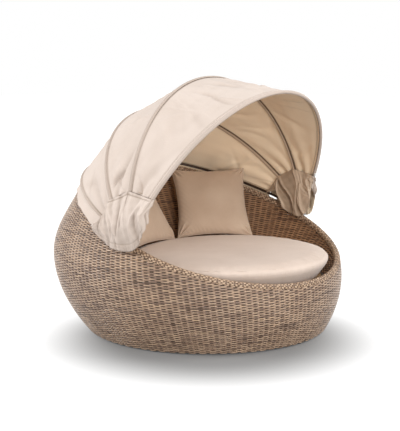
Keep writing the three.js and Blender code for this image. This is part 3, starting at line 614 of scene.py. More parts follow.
# Seat cushion
# One thick round foam pad, a little wider than deep, in a sewn cover of plain woven outdoor
# cloth: a flat base, a side that opens out with the wall, and a low crown inside the top seam.
pad_radius = 0.610
pad_widen_share = 1.05
pad_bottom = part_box("seat_cushion")[0][2]
pad_seam_height = 0.128
pad_crown = 0.024
pad_start_share = 0.985
pad_voxel = 0.0085
pad_swell = 0.009
pad_base_gap = 0.002
pad_crown_swell = 0.006
pad_crown_most = 0.003
pad_pucker = 0.0012
pad_pucker_fade = 0.016
pad_seam_dip = 0.0045
pad_seam_dip_reach = 0.008
pad_welt_radius = 0.0024
pad_welt_near = 0.007
pad_base_welt_rise = 0.012
pad_turns = 96
pad_welt_steps = 420
cover_frames = 20
cover_cloth = {
    "quality": 5,
    "mass": 0.3,
    "tension_stiffness": 15,
    "compression_stiffness": 15,
    "shear_stiffness": 5,
    "bending_stiffness": 0.4,
    "use_pressure": True,
    "uniform_pressure_force": 4.0,
}


def lathe(profile, turns, centre_y, widen):
    """A closed turned body: the profile's (radius, height) pairs, from axis to axis, carried round
    an upright axis and widened along X. The first and last points are closed by folded quads."""
    angle = full_turn * np.arange(turns) / turns
    radius, height = profile[:, 0], profile[:, 1]
    ring = stacked(
        widen * radius[:, None] * np.cos(angle)[None, :],
        centre_y + radius[:, None] * np.sin(angle)[None, :],
        np.repeat(height[:, None], turns, axis=1),
    )
    return ring.reshape(-1, 3), ring_faces(len(profile), turns, False)


def applied(piece):
    """The piece with its modifiers made part of its mesh."""
    evaluated = piece.evaluated_get(bpy.context.evaluated_depsgraph_get())
    mesh = bpy.data.meshes.new_from_object(evaluated)
    piece.modifiers.clear()
    piece.data = mesh
    return piece


def places(piece):
    """The piece's points as an array."""
    found = np.empty(3 * len(piece.data.vertices), np.float32)
    piece.data.vertices.foreach_get("co", found)
    return found.reshape(-1, 3).astype(float)


def set_places(piece, points):
    """Moves the piece's points."""
    piece.data.vertices.foreach_set("co", points.astype(np.float32).ravel())
    piece.data.update()


def swollen(piece, voxel, cap, pinned=None):
    """A stuffed cover: an even mesh is blown up by cloth simulation, each point's way is capped,
    and the mesh is divided once. Pinned points, where given, stay with their seam."""
    remesh = piece.modifiers.new("even", "REMESH")
    remesh.mode = "VOXEL"
    remesh.voxel_size = voxel
    applied(piece)
    before = places(piece)
    cloth = piece.modifiers.new("cover", "CLOTH")
    settings = cloth.settings
    for setting, value in cover_cloth.items():
        setattr(settings, setting, value)
    settings.effector_weights.gravity = 0
    if pinned is not None:
        group = piece.vertex_groups.new(name="seam")
        group.add(np.flatnonzero(pinned(before)).tolist(), 1.0, "REPLACE")
        settings.vertex_group_mass = "seam"
    scene = bpy.context.scene
    cloth.point_cache.frame_start = 1
    cloth.point_cache.frame_end = cover_frames
    for step in range(1, cover_frames + 1):
        scene.frame_set(step)
    evaluated = piece.evaluated_get(bpy.context.evaluated_depsgraph_get())
    after = np.empty(3 * len(before), np.float32)
    evaluated.data.vertices.foreach_get("co", after)
    move = after.reshape(-1, 3) - before
    length = np.linalg.norm(move, axis=1, keepdims=True)
    piece.modifiers.clear()
    piece.vertex_groups.clear()
    scene.frame_set(1)
    set_places(piece, before + move * np.minimum(1, cap / np.maximum(length, 1e-9)))
    divide = piece.modifiers.new("divide", "SUBSURF")
    divide.levels = 1
    divide.render_levels = 1
    applied(piece)
    piece.data.polygons.foreach_set("use_smooth", np.ones(len(piece.data.polygons), bool))
    return piece


def woven_cloth(name, colour, shade, fine):
    """Plain woven outdoor cloth: a mottled tone from slubs in the yarn, a soft large unevenness from
    sun and use, a fine bump of yarns, and a sheen. All patterns are noise over the piece's place."""
    material, tree, surface = shader(name)
    place = own_place(tree)
    base = tones(tree, noise(tree, place, 5.0, Detail=4.0), [(0.30, shade), (0.70, colour)])
    slub = noise(tree, place, fine, Detail=3.0, Roughness=0.7)
    mottle = tones(tree, slub, [(0.32, (0.88, 0.87, 0.85)), (0.68, (1.06, 1.06, 1.06))])
    look(tree, surface, Base_Color=multiplied(tree, base, mottle), Roughness=0.92, Specular_IOR_Level=0.2)
    look(tree, surface, Sheen_Weight=0.25, Sheen_Roughness=0.5)
    bumped(tree, surface, noise(tree, place, 2.2 * fine, Detail=2.0), 0.25, 0.0008)
    return material


seat_cloth = woven_cloth("seat_cloth", linear(226, 209, 197), linear(217, 199, 186), 420.0)

side_reach_shares = np.array([0, 0.45, 0.80, 0.865, 0.895, 0.925, 0.958, 0.988, 1, 0.996, 0.98])
side_height_shares = np.array([0, 0, 0.004, 0.02, 0.09, 0.27, 0.46, 0.64, 0.80, 0.92, 1])
side_shares = np.stack([side_reach_shares, side_height_shares], axis=1)
crown_shares = np.array([0.955, 0.93, 0.86, 0.76, 0.62, 0.45, 0.25, 0])
pad_side = side_shares * (pad_start_share * pad_radius, pad_seam_height) + (0, pad_bottom + pad_base_gap)
pad_edge_radius, pad_seam_level = pad_side[-1]
crown_heights = pad_seam_level + (pad_crown - pad_crown_swell) * np.sqrt(1 - crown_shares**4)
pad_top = np.stack([crown_shares * pad_edge_radius, crown_heights], axis=1)
points, faces = lathe(np.concatenate([pad_side, pad_top]), pad_turns, seat_centre_y, pad_widen_share)
pad = swollen(new_piece("seat_cushion_cover", points, faces, materials=[seat_cloth]), pad_voxel, pad_swell)


def around_seat(points):
    """Distance from the seat's upright axis, direction round it, and height, with the pad's extra
    width taken out."""
    x, y = points[:, 0] / pad_widen_share, points[:, 1] - seat_centre_y
    return np.hypot(x, y), np.arctan2(y, x), points[:, 2]


def bell(distance, width):
    """A bell curve: e to the power of minus the square of the distance over the width."""
    return np.exp(-((distance / width) ** 2))


points = places(pad)
reach, facing, height = around_seat(points)
beside_seam = np.hypot(reach - pad_edge_radius, height - pad_seam_level)
pucker = pad_pucker * np.sin(61 * facing + 2 * np.sin(7 * facing)) * np.exp(-beside_seam / pad_pucker_fade)
lift = pucker - pad_seam_dip * bell(beside_seam, pad_seam_dip_reach)
points[:, 0] += lift * np.cos(facing)
points[:, 1] += lift * np.sin(facing)
points[:, 2] = np.maximum(points[:, 2] + 0.5 * lift, pad_bottom)
points[:, 2] = np.minimum(points[:, 2], pad_seam_level + pad_crown + pad_crown_most)
set_places(pad, points)
hand_over(pad, "seat_cushion", "seat_cushion")


def welt_line(level):
    """The cover's outermost place at a height, in each direction round the seat, smoothed."""
    near = np.abs(height - level) < pad_welt_near
    order = np.argsort(facing[near])
    at, out = facing[near][order], points[near][order]
    reach_there = around_seat(out)[0]
    outer = reach_there > np.median(reach_there) - 0.02
    around = full_turn * np.arange(pad_welt_steps) / pad_welt_steps - np.pi
    found = np.interp(around, at[outer], reach_there[outer], period=full_turn)
    window = np.ones(9) / 9
    return around, np.convolve(np.concatenate([found[-4:], found, found[:4]]), window, "valid")


welt_levels = {"top": pad_seam_level, "base": pad_bottom + pad_base_welt_rise}
for name, level in welt_levels.items():
    around, welt_reach = welt_line(level)
    across = pad_widen_share * welt_reach * np.cos(around)
    line = stacked(across, seat_centre_y + welt_reach * np.sin(around), level)
    outward = stacked(np.cos(around), np.sin(around), 0.0)
    tube = ring_tube(line, outward, stacked(0 * around, 0.0, -1.0), pad_welt_radius, 10)
    welt = new_piece(f"seat_cushion_{name}_welt", *tube, materials=[seat_cloth])
    hand_over(welt, "seat_cushion")

# Scatter cushions
# Two square cushions with loose fibre filling lean on the rear wall. Front and back panels are
# sewn together with a thin cord in the seam, and the cloth puckers towards the corners.
scatter_size = 0.505
scatter_front_bulge = 0.088
scatter_back_bulge = 0.058
scatter_lean = np.radians(33)
scatter_draw_in = 0.026
scatter_start_share = 0.93
scatter_cells = 48
scatter_voxel = 0.005
scatter_swell = 0.012
scatter_cord_radius = 0.0026
scatter_cord_waver = 0.0016
scatter_edge_half = 0.0025
scatter_pinned_within = 0.0035
scatter_seam_steps = 70
scatter_tuck = 0.0075
scatter_gather = 0.0034
scatter_soft = 0.006
scatter_seeds = {"centre_scatter_cushion": 1.3, "left_scatter_cushion": 4.1}
scatter_places = {
    "centre_scatter_cushion": (0.311, 0.128, 0.0126, np.radians(53.5)),
    "left_scatter_cushion": (-0.192, 0.205, 0.0137, np.radians(101)),
}
seat_seam_level = pad_bottom + pad_seam_height


def scatter_panel(u, v, bulge):
    """One face of the cushion over u and v from -1 to 1: the sides draw in between the corners, and
    the face rises as a power of its distance from all four edges."""
    half = scatter_size / 2
    plump = (np.clip(1 - u**2, 0, 1) * np.clip(1 - v**2, 0, 1)) ** 0.42
    x = u * (half - scatter_draw_in * (1 - v**2))
    y = v * (half - scatter_draw_in * (1 - u**2))
    return stacked(x, y, plump * bulge)


def cushion_axes(x, y, over_seam, facing):
    """Where a cushion stands: the middle of it, and its directions sideways, up and out of its face."""
    away = np.array([np.cos(facing), np.sin(facing), 0])
    sideways = np.array([np.sin(facing), -np.cos(facing), 0])
    upward = np.cos(scatter_lean) * np.array([0, 0, 1]) + np.sin(scatter_lean) * away
    middle = np.array([x, y, seat_seam_level + over_seam]) + upward * scatter_size / 2
    return middle, np.stack([sideways, upward, np.cross(sideways, upward)])


def seam_ring(count):
    """The seam round the cushion: the edge of the panels, side after side."""
    along = np.sin(np.linspace(-1, 1, count, endpoint=False) * np.pi / 2)
    edge = np.ones(count)
    u = np.concatenate([along, edge, -along, -edge])
    v = np.concatenate([-edge, along, edge, -along])
    return scatter_panel(u, v, 0.0), u, v


def scatter_folds(u, v, seed):
    """How far the stuffed faces rise in folds, as waves: tucks that fan out round each corner, gathers
    that fade away from the seam, and soft dents over the middle."""
    corner = np.clip(np.hypot(np.abs(u) - 1, np.abs(v) - 1), 0, 2)
    fold_way = np.arctan2(1 - np.abs(v), 1 - np.abs(u))
    tuck = np.exp(-((corner - 0.22) ** 2) / 0.02) * np.sin(15 * fold_way + seed + np.sign(u) + 2 * np.sign(v))
    from_edge = np.minimum(1 - np.abs(u), 1 - np.abs(v))
    gather = np.exp(-from_edge / 0.10) * np.sin(44 * (u + v) + 6 * np.sin(3 * u + seed))
    gather = gather * np.clip(8 * from_edge, 0, 1)
    soft = np.sin(4.1 * u + 2.3 * v + seed) * np.sin(2.2 * u - 3.7 * v + 2 * seed)
    return scatter_tuck * tuck + scatter_gather * gather + scatter_soft * soft * np.clip(1.4 * from_edge, 0, 1)


def scatter_shell():
    """The flat start of a cover: both panels as grids, finer towards the edges, a little apart, and a
    narrow strip between them."""
    grid = np.sin(np.linspace(-1, 1, scatter_cells + 1) * np.pi / 2)
    u, v = np.meshgrid(grid, grid, indexing="ij")
    front = scatter_panel(u, v, scatter_start_share * scatter_front_bulge)
    back = scatter_panel(u, v, -scatter_start_share * scatter_back_bulge)
    front[..., 2] += scatter_edge_half
    back[..., 2] -= scatter_edge_half
    index = np.arange(u.size).reshape(u.shape)
    face = np.stack([index[:-1, :-1], index[1:, :-1], index[1:, 1:], index[:-1, 1:]], axis=-1).reshape(-1, 4)
    edge = np.concatenate([index[:, 0], index[-1, 1:], index[-2::-1, -1], index[0, -2:0:-1]])
    after = np.roll(edge, -1)
    side = np.stack([edge, after, after + u.size, edge + u.size], axis=1)
    faces = np.concatenate([face, face[:, ::-1] + u.size, side[:, ::-1]])
    return np.concatenate([front.reshape(-1, 3), back.reshape(-1, 3)]), faces


def near_seam(points):
    """The points that the seam holds: those close to the plane between the panels."""
    return np.abs(points[:, 2]) < scatter_pinned_within


scatter_cloth = woven_cloth("scatter_cloth", linear(208, 186, 165), linear(196, 172, 151), 460.0)
for name, place in scatter_places.items():
    middle, axes = cushion_axes(*place)
    seed = scatter_seeds[name]
    cushion = new_piece(f"{name}_cover", *scatter_shell(), materials=[scatter_cloth])
    swollen(cushion, scatter_voxel, scatter_swell, pinned=near_seam)
    points = places(cushion)
    half = scatter_size / 2
    points[:, 2] += np.sign(points[:, 2]) * scatter_folds(points[:, 0] / half, points[:, 1] / half, seed)
    set_places(cushion, middle + points @ axes)
    hand_over(cushion, name, name)
    line, u, v = seam_ring(scatter_seam_steps)
    line = line + stacked(0 * u, 0 * u, scatter_cord_waver * np.sin(21 * np.arctan2(v, u) + seed))
    onward = unit(np.roll(line, -1, axis=0) - np.roll(line, 1, axis=0))
    up = np.broadcast_to(np.array([0.0, 0.0, 1.0]), line.shape)
    points, faces = ring_tube(line, unit(np.cross(onward, up)), up, scatter_cord_radius, 8)
    cord = new_piece(f"{name}_seam_cord", middle + points @ axes, faces, materials=[scatter_cloth])
    hand_over(cord, name)

# Hood hoops
# Four hoops of bent, powder coated tube. The lowest lies along the rim, the other three turn on
# a bolt at each side, and the cloth is sewn over them in sleeves.
hinge_joint = next(joint for joint in frame["joints"] if joint["name"] == "back_hoop_hinge")
hinge_y, hinge_height = hinge_joint["pos_m"][1], hinge_joint["pos_m"][2]
hoop_tube_radius = 0.008
hoop_pitch = 0.018
hoop_half_width = (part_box("crown_hoop")[1][0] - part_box("crown_hoop")[0][0]) / 2 - hoop_tube_radius
hem_reach = 1.0070
hoops = {
    "hem": (hoop_half_width, hem_reach, np.radians(19.8)),
    "back": (hoop_half_width + hoop_pitch, hem_reach - 0.111, np.radians(50.1)),
    "crown": (hoop_half_width, hem_reach - 0.108, np.radians(83.3)),
    "front": (hoop_half_width - hoop_pitch, hem_reach - 0.067, np.radians(119.5)),
}
hoop_order = ["hem", "back", "crown", "front"]
hoop_bodies = ["base", "back_hoop", "crown_hoop", "front_hoop"]
seam_reach = 0.270
hoop_end = 0.012
hoop_straight = 0.030
hoop_straight_fade = 0.12
hem_hoop_start_reach = 0.120
hoop_steps = 181


def hoop_point(hoop, turn):
    """A half ellipse that starts and ends on the hinge line, in a plane turned up from the rear."""
    width, radius, angle = hoops[hoop]
    reach = radius * np.sin(turn)
    return stacked(width * np.cos(turn), hinge_y + reach * np.cos(angle), hinge_height + reach * np.sin(angle))


def hoop_tangent(hoop, turn):
    """The direction along that half ellipse."""
    width, radius, angle = hoops[hoop]
    rise = radius * np.cos(turn)
    return unit(stacked(-width * np.sin(turn), rise * np.cos(angle), rise * np.sin(angle)))


def hoop_axes(hoop):
    """The direction up a hoop's plane from the hinge line, and the one square to that plane."""
    angle = hoops[hoop][2]
    rise = np.array([0, np.cos(angle), np.sin(angle)])
    return rise, np.cross(rise, (1.0, 0, 0))


def turn_at(hoop, share):
    """The place along a hoop between its two seams, as a share of the way from right to left."""
    start = np.arcsin(seam_reach / hoops[hoop][1])
    return start + (np.pi - 2 * start) * share


def open_tube(line, radius, sides, first_out):
    """A tube along an open line, closed at both ends by drawing the last circles in to a point."""
    onward = unit(np.gradient(line, axis=0))
    out = unit(first_out - np.sum(first_out * onward, axis=-1, keepdims=True) * onward)
    down = np.cross(onward, out)
    line = np.concatenate([line[:1], line, line[-1:]])
    out = np.concatenate([out[:1], out, out[-1:]])
    down = np.concatenate([down[:1], down, down[-1:]])
    radii = np.broadcast_to(radius, len(line) - 2)
    radii = np.concatenate([radii[:1] * 0.02, radii, radii[-1:] * 0.02])
    turn = full_turn * np.arange(sides)[:, None] / sides
    circle = np.cos(turn) * out[:, None] + np.sin(turn) * down[:, None]
    points = line[:, None] + radii[:, None, None] * circle
    rung = np.arange(sides // 2 - 1)
    cap = np.stack([rung, rung + 1, sides - 2 - rung, sides - 1 - rung], axis=1)
    far_cap = cap[:, ::-1] + sides * (len(line) - 1)
    return points.reshape(-1, 3), np.concatenate([ring_faces(len(line), sides, False), cap, far_cap])


def powder_coat(name, colour):
    """Powder coat on tube: a dark brown with a faint orange peel and lighter rubbed patches."""
    material, tree, surface = shader(name)
    place = own_place(tree)
    lighter = tuple(1.35 * c for c in colour)
    colours = tones(tree, noise(tree, place, 14.0, Detail=4.0), [(0.4, colour), (0.75, lighter)])
    look(tree, surface, Base_Color=colours, Roughness=0.38, Metallic=0.3)
    bumped(tree, surface, noise(tree, place, 700.0), 0.12, 0.0004)
    return material


def turning_hoop_line(hoop, line):
    """The line of a hoop that turns: near the hinge its legs are drawn straight, by a share that
    grows as a square towards it, and they run on a little past the bolt."""
    rise = hoop_axes(hoop)[0]
    reach = (line - (0, hinge_y, hinge_height)) @ rise
    straight = np.clip(1 - (reach - hoop_straight) / hoop_straight_fade, 0, 1) ** 2
    line[:, 0] = np.sign(line[:, 0]) * (np.abs(line[:, 0]) * (1 - straight) + hoops[hoop][0] * straight)
    return np.concatenate([line[:1] - hoop_end * rise, line, line[-1:] - hoop_end * rise])


hoop_coat = powder_coat("hoop_coat", linear(62, 46, 36))
for hoop, body in zip(hoop_order, hoop_bodies):
    start = np.arcsin(hem_hoop_start_reach / hem_reach) if hoop == "hem" else 0.0
    line = hoop_point(hoop, np.linspace(start, np.pi - start, hoop_steps))
    if hoop != "hem":
        line = turning_hoop_line(hoop, line)
    points, faces = open_tube(line, hoop_tube_radius, 20, np.broadcast_to(hoop_axes(hoop)[1], line.shape))
    piece = new_piece(f"{hoop}_hoop_tube", points, faces, materials=[hoop_coat])
    hand_over(piece, body, f"{hoop}_hoop")
dress(bright_metal, "front_hoop_ferrule_left", "front_hoop_ferrule_right")

# Hood gores
# Three lengths of cream canvas, each sewn over two hoops in sleeves and drawn taut between them. Inside, the
# cloth is a brighter, warmer copy of its colour: painted light that stands in for the light coming through the
# canvas.
canvas_thickness = 0.0016
sleeve_radius = 0.0106
sleeve_side = np.radians(76)
stitch_margin = sleeve_radius * np.sin(sleeve_side) + 0.0016
canvas_over_hoop = 0.0026
gore_columns = 301
gore_middle_rows = 30
gore_arc_rows = 7
gore_sag = 0.006
gore_free_run = 0.05
gore_crease_height = 0.0115
front_hem_width = 0.030
front_hem_puff = 0.0022
front_hem_groove = 0.0016
front_hem_groove_width = 0.0025
seam_shade_width = 0.0035
low_seam_shade_width = 0.0045
low_seam_shade_from = 0.003
front_sleeve_end = np.radians(236)
front_sleeve_rows = 18
front_sleeve_dark_from = np.radians(186)
hood_middle = np.array([0, hinge_y, hinge_height])


def run_along(line):
    """Lengths from the first point of a line to each of its points."""
    return np.concatenate([[0], np.cumsum(np.linalg.norm(np.diff(line, axis=0), axis=-1))])


def eased(share):
    """A share of 0 to 1 that starts and ends level: three times its square less twice its cube."""
    held = np.clip(share, 0, 1)
    return held**2 * (3 - 2 * held)


def sheet_shell(grid, thickness, outward_from, marks, name, materials, shade=1.0):
    """A sheet with a thickness, from the grid of its outer face: the inner face is set in along the
    grid's own normals, and four edge strips close it. Outer faces take the first material."""
    normal = unit(np.cross(np.gradient(grid, axis=0), np.gradient(grid, axis=1)))
    away = np.sum(normal * (grid - outward_from), axis=-1)
    if np.median(away) < 0:
        normal = -normal
    points = np.concatenate([grid.reshape(-1, 3), (grid - thickness * normal).reshape(-1, 3)])
    count = len(points) // 2
    index = np.arange(count).reshape(grid.shape[:2])
    outer = np.stack([index[:-1, :-1], index[:-1, 1:], index[1:, 1:], index[1:, :-1]], axis=-1).reshape(-1, 4)
    border = np.concatenate([index[0, :-1], index[:-1, -1], index[-1, :0:-1], index[:0:-1, 0]])
    after = np.roll(border, -1)
    strips = np.stack([after, border, border + count, after + count], axis=-1)
    faces = np.concatenate([outer, outer[:, ::-1] + count, strips])
    face_material = np.concatenate([np.zeros(len(outer)), np.ones(len(outer)), np.zeros(len(strips))])
    shade = np.broadcast_to(shade, grid.shape[:2]).reshape(-1, 1)
    marks = np.concatenate([marks.reshape(-1, 3), shade], axis=1)
    return new_piece(name, points, faces, np.concatenate([marks] * 2), materials, face_material)


def gore_span(order, share):
    """For the gore between two hoops, at shares along them: its two ends, its direction, and the
    direction out of it at each hoop, square to the hoop and to the gore."""
    low, high = hoop_order[order], hoop_order[order + 1]
    start, end = hoop_point(low, turn_at(low, share)), hoop_point(high, turn_at(high, share))
    direction = unit(end - start)
    away = start - (0, hinge_y, hinge_height)
    out = []
    for hoop in (low, high):
        side = unit(np.cross(hoop_tangent(hoop, turn_at(hoop, share)), direction))
        sign = np.sign(np.sum(side * away, axis=-1, keepdims=True))
        out.append(side * sign)
    return start, end, direction, out[0], out[1]


def level_out(point):
    """The level direction out of the bowl."""
    return unit(stacked(point[..., 0], point[..., 1] - bowl_centre_y - bowl_lean_share * point[..., 2], 0.0))


def ridge(order, share):
    """The direction from a hoop to the line where the cloths on both sides of it meet."""
    if order == 0:
        start, _, _, out, _ = gore_span(0, share)
        return unit(out + level_out(start))
    if order == 3:
        return gore_span(2, share)[4]
    return unit(gore_span(order - 1, share)[4] + gore_span(order, share)[3])


crease_kinds = [
    (24, [(-1.1, 1.1), (0, 1), (0.005, 0.022), (0.15, 0.85), (0.18, 0.45), (-1, 1)], (0.01, 7, 3)),
    (16, [(-0.35, 0.35), (0.26, 0.78), (0.004, 0.010), (0.2, 0.8), (0.3, 0.8), (-0.8, 0.8)], (0.004, 9, 5)),
]


def wrinkles(along, up, seed):
    """Height of soft creases in taut cloth, as a sum of slanted ridges: each is a bell curve across its
    swaying line, faded in and out along it. A kind has a count, the ranges of slant, place, width,
    middle, length and height, and its sway. More ridges fan out from the corners."""
    total = np.zeros(np.broadcast(along, up).shape)
    random = np.random.default_rng(seed)
    for count, ranges, (sway, waves, shift) in crease_kinds:
        for _ in range(count):
            slant, place, wide, middle, length, high = (random.uniform(*limits) for limits in ranges)
            across = along - place - slant * 0.16 * (up - 0.5) - sway * np.sin(waves * up + shift * place)
            total += high * bell(across, wide) * bell(up - middle, length)
    from_end = np.minimum(along, 1 - along)
    fan = np.sin(12 * up + 7 * np.sin(7 * along + seed)) * np.exp(-from_end / 0.10) * np.sin(np.pi * up)
    lines = np.sin(34 * up + 4 * np.sin(5 * along + seed)) * np.exp(-((from_end - 0.38) ** 2) / 0.03)
    return total + fan + 0.12 * lines * np.sin(np.pi * up)


def yarn_waves(tree, marks, way):
    """Close waves over the marks, along one of them."""
    wave = add_node(tree, "ShaderNodeTexWave", Vector=marks, Scale=150.0, Distortion=0.6, bands_direction=way)
    return wave.outputs["Color"]


def canvas(name, colour, shade):
    """Plain woven canvas, as woven_cloth, with yarns that follow the sheet: two crossing waves over its own
    marks. It is darkened by a painted shade of 0 to 1 that the sheet carries, along seams and sleeves and in
    the hollows of creases and folds."""
    material, tree, surface = shader(name)
    marks = attribute(tree, "marks", "Vector")
    cloud = noise(tree, scaled(tree, marks, (3, 3, 3)), Detail=5.0)
    slub = noise(tree, scaled(tree, marks, (120, 480, 1)), Detail=3.0)
    base = tones(tree, cloud, [(0.30, shade), (0.70, colour)])
    mottle = tones(tree, slub, [(0.32, (0.93, 0.92, 0.91)), (0.68, (1.03, 1.03, 1.03))])
    seams = attribute(tree, "shade", "Fac")
    # Painted shade: the sheet's shade mark darkens seams, sleeves, creases and folds.
    painted_shade = tones(tree, seams, [(0.0, (0.12, 0.09, 0.075)), (0.5, (0.56, 0.52, 0.48)), (1.0, (1.0, 1.0, 1.0))])
    colours = multiplied(tree, multiplied(tree, base, mottle), painted_shade)
    look(tree, surface, Base_Color=colours, Roughness=0.9, Specular_IOR_Level=0.25, Sheen_Weight=0.15)
    yarns = multiplied(tree, yarn_waves(tree, marks, "X"), yarn_waves(tree, marks, "Y"))
    bumped(tree, surface, yarns, 0.12, 0.0004)
    return material


hood_outside = canvas("hood_outside", linear(223, 209, 199), linear(213, 198, 187))
# Painted light: the inside is a brighter, warmer copy of the canvas, for the light that comes through it.
lit_hood_inside = canvas("lit_hood_inside", linear(255, 236, 208), linear(250, 227, 197))


def angle_round_hinge(points):
    """Angle about the hinge line, up from the rear."""
    return np.arctan2(points[:, 2] - hinge_height, points[:, 1] - hinge_y)


def bend_between(piece, order, weight):
    """The piece's transform is baked into its mesh; nothing bends it. The weight, the share of the turn given
    for each point, is not used."""
    top = np.pi / 2
    start = hoop_point(hoop_order[order], top)
    end = hoop_point(hoop_order[order + 1], top)
    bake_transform(piece)


def fan_share(points, order):
    """How far round the hinge line each point lies between two hoops, from 0 to 1."""
    low, high = hoops[hoop_order[order]][2], hoops[hoop_order[order + 1]][2]
    return np.clip((angle_round_hinge(points) - low) / (high - low), 0, 1)


def sleeve_arc(hoop_place, direction, out, turns, radius=sleeve_radius):
    """Points round a hoop: at each turn from the outward direction towards the gore's direction."""
    return (
        hoop_place[None]
        + radius * np.sin(turns)[..., None] * direction[None]
        + radius * np.cos(turns)[..., None] * out[None]
    )


def high_turns(steps, last):
    """Turns round the higher hoop, from its stitching to the last."""
    return -sleeve_side + (last + sleeve_side) * steps


def gore_grid(order):
    """The gore's outer face. Row by row: over the lower hoop from the ridge to the stitching, across
    the open cloth with its sag and creases, and up over the higher hoop to the ridge."""
    share = np.linspace(0, 1, gore_columns)
    start, end, direction, out_low, out_high = gore_span(order, share)
    length = np.linalg.norm(end - start, axis=-1)
    low_ridge, high_ridge = ridge(order, share), ridge(order + 1, share)
    low_turn = np.arctan2(np.sum(low_ridge * direction, -1), np.sum(low_ridge * out_low, -1))
    high_turn = np.arctan2(np.sum(high_ridge * direction, -1), np.sum(high_ridge * out_high, -1))
    if order == 2:
        high_turn = np.full(gore_columns, front_sleeve_end)
    steps = np.linspace(0, 1, gore_arc_rows)[:, None]
    low_arc = sleeve_arc(start, direction, out_low, low_turn + (sleeve_side - low_turn) * steps)
    arc_steps = np.linspace(0, 1, front_sleeve_rows if order == 2 else gore_arc_rows)[:, None]
    high_arc = sleeve_arc(end, direction, out_high, high_turns(arc_steps, high_turn))
    high_hem = front_hem_width if order == 2 else stitch_margin
    hem_line_at = length - high_hem
    open_steps = np.linspace(0, 1, gore_middle_rows)[:, None]
    run = stitch_margin + (length - stitch_margin - high_hem) * open_steps
    if order == 2:
        hem_steps = np.array([0.06, 0.14, 0.4, 0.7, 0.92, 1.0])[:, None]
        run = np.concatenate([run, hem_line_at + (high_hem - stitch_margin) * hem_steps])
    up = run / length
    out = unit(out_low + (out_high - out_low) * up[..., None])
    free = eased(np.minimum(run - stitch_margin, hem_line_at - run) / gore_free_run)
    lift = canvas_over_hoop - gore_sag * 4 * up * (1 - up) * np.sin(np.pi * share) * free
    creases = free * wrinkles(share[None, :], up, 11 + order)
    lift = lift + gore_crease_height * creases
    if order == 2:
        puff = np.clip((run - hem_line_at) / (high_hem - stitch_margin), 0, 1)
        lift = lift + front_hem_puff * np.sin(np.pi * puff)
        lift = lift - front_hem_groove * bell(run - hem_line_at, front_hem_groove_width)
    middle = start[None] + run[..., None] * direction[None] + lift[..., None] * out
    # The shade is painted shade: dark lines along the stitching at the hoops and the front hem, darker sleeves,
    # a near black line where the front sleeve turns in, and darker crease hollows.
    from_low, from_high = run - stitch_margin, length - stitch_margin - run
    seam = 0.72 * bell(from_low - low_seam_shade_from, low_seam_shade_width)
    seam = seam + 0.16 * bell(from_high, seam_shade_width)
    end_shade = np.full(high_arc.shape[:2], 0.78)
    if order == 2:
        seam = seam + 0.42 * bell(run - hem_line_at, seam_shade_width)
        end_shade = np.where(high_turns(arc_steps, high_turn) > front_sleeve_dark_from, 0.06, 0.84)
    open_shade = (1 - np.clip(seam, 0, 0.8)) * (1 - 0.20 * np.clip(-creases, 0, 1))
    arc_shade = np.full(low_arc.shape[:2], 0.74)
    return np.concatenate([low_arc, middle, high_arc]), np.concatenate([arc_shade, open_shade, end_shade])


for order, name in enumerate(["rear_gore", "middle_gore", "front_gore"]):
    grid, shade = gore_grid(order)
    across, along = run_along(grid[:, gore_columns // 2]), run_along(grid[len(grid) // 2])
    marks = stacked(along[None, :], across[:, None], float(order))
    cloths = [hood_outside, lit_hood_inside]
    piece = sheet_shell(grid, canvas_thickness, hood_middle, marks, f"{name}_cloth", cloths, shade)
    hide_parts(name)
    bend_between(piece, order, fan_share(places(piece), order))

# Sleeves inside the hood
# A strip of the same cloth is sewn under each of the two middle hoops, so that the hoop runs in a closed
# sleeve. The strip is a little loose. It is painted darker than the hood's inside, and its front edge is
# painted in dark shade.
inner_sleeve_radius = 0.0132
inner_sleeve_from = np.radians(-98)
inner_sleeve_to = np.radians(-262)
inner_sleeve_rows = 14
inner_sleeve_dark_rows = 4
inner_sleeve_thickness = 0.0012
inner_sleeve_wide = 0.035
sleeve_cloth = canvas("sleeve_cloth", linear(214, 192, 170), linear(204, 182, 160))
for order in (1, 2):
    hoop, body = hoop_order[order], hoop_bodies[order]
    share = np.linspace(0.0, 1.0, 161)
    _, place, direction, _, out = gore_span(order - 1, share)
    turns = np.linspace(inner_sleeve_from, inner_sleeve_to, inner_sleeve_rows)[:, None] + 0 * share
    loose = 1 + 0.10 * np.sin(9 * share + order) + 0.05 * np.sin(31 * share)
    grid = sleeve_arc(place, direction, out, turns, inner_sleeve_radius * loose[None, :, None] ** 0.5)
    along = run_along(grid[inner_sleeve_rows // 2])
    marks = stacked(along[None, :], np.linspace(0, inner_sleeve_wide, inner_sleeve_rows)[:, None], 7.0)
    dark = np.arange(inner_sleeve_rows) >= inner_sleeve_rows - inner_sleeve_dark_rows
    # Painted shade: the strip darker overall and near black along its front edge.
    shade = np.where(dark, 0.02, 0.76)[:, None]
    name = f"{hoop}_hoop_inner_sleeve"
    strip = sheet_shell(grid, inner_sleeve_thickness, place[None], marks, name, [sleeve_cloth] * 2, shade)
    hand_over(strip, body)

# Piping on the front hem
# A thin cord in a folded strip of the canvas is sewn along the line where the wide front hem
# meets the gore, and stands a little proud of the cloth.
piping_radius = 0.0021
piping_proud = 0.0006
piping_share_end = 0.004
_, end, direction, _, out_high = gore_span(2, np.linspace(piping_share_end, 1 - piping_share_end, 241))
line = end - front_hem_width * direction + (canvas_over_hoop + piping_proud) * out_high
points, faces = open_tube(line, piping_radius, 10, out_high)
piece = new_piece("front_hem_piping", points, faces, shaded(points, 1.0), [hood_outside])
bend_between(piece, 2, fan_share(places(piece), 2))

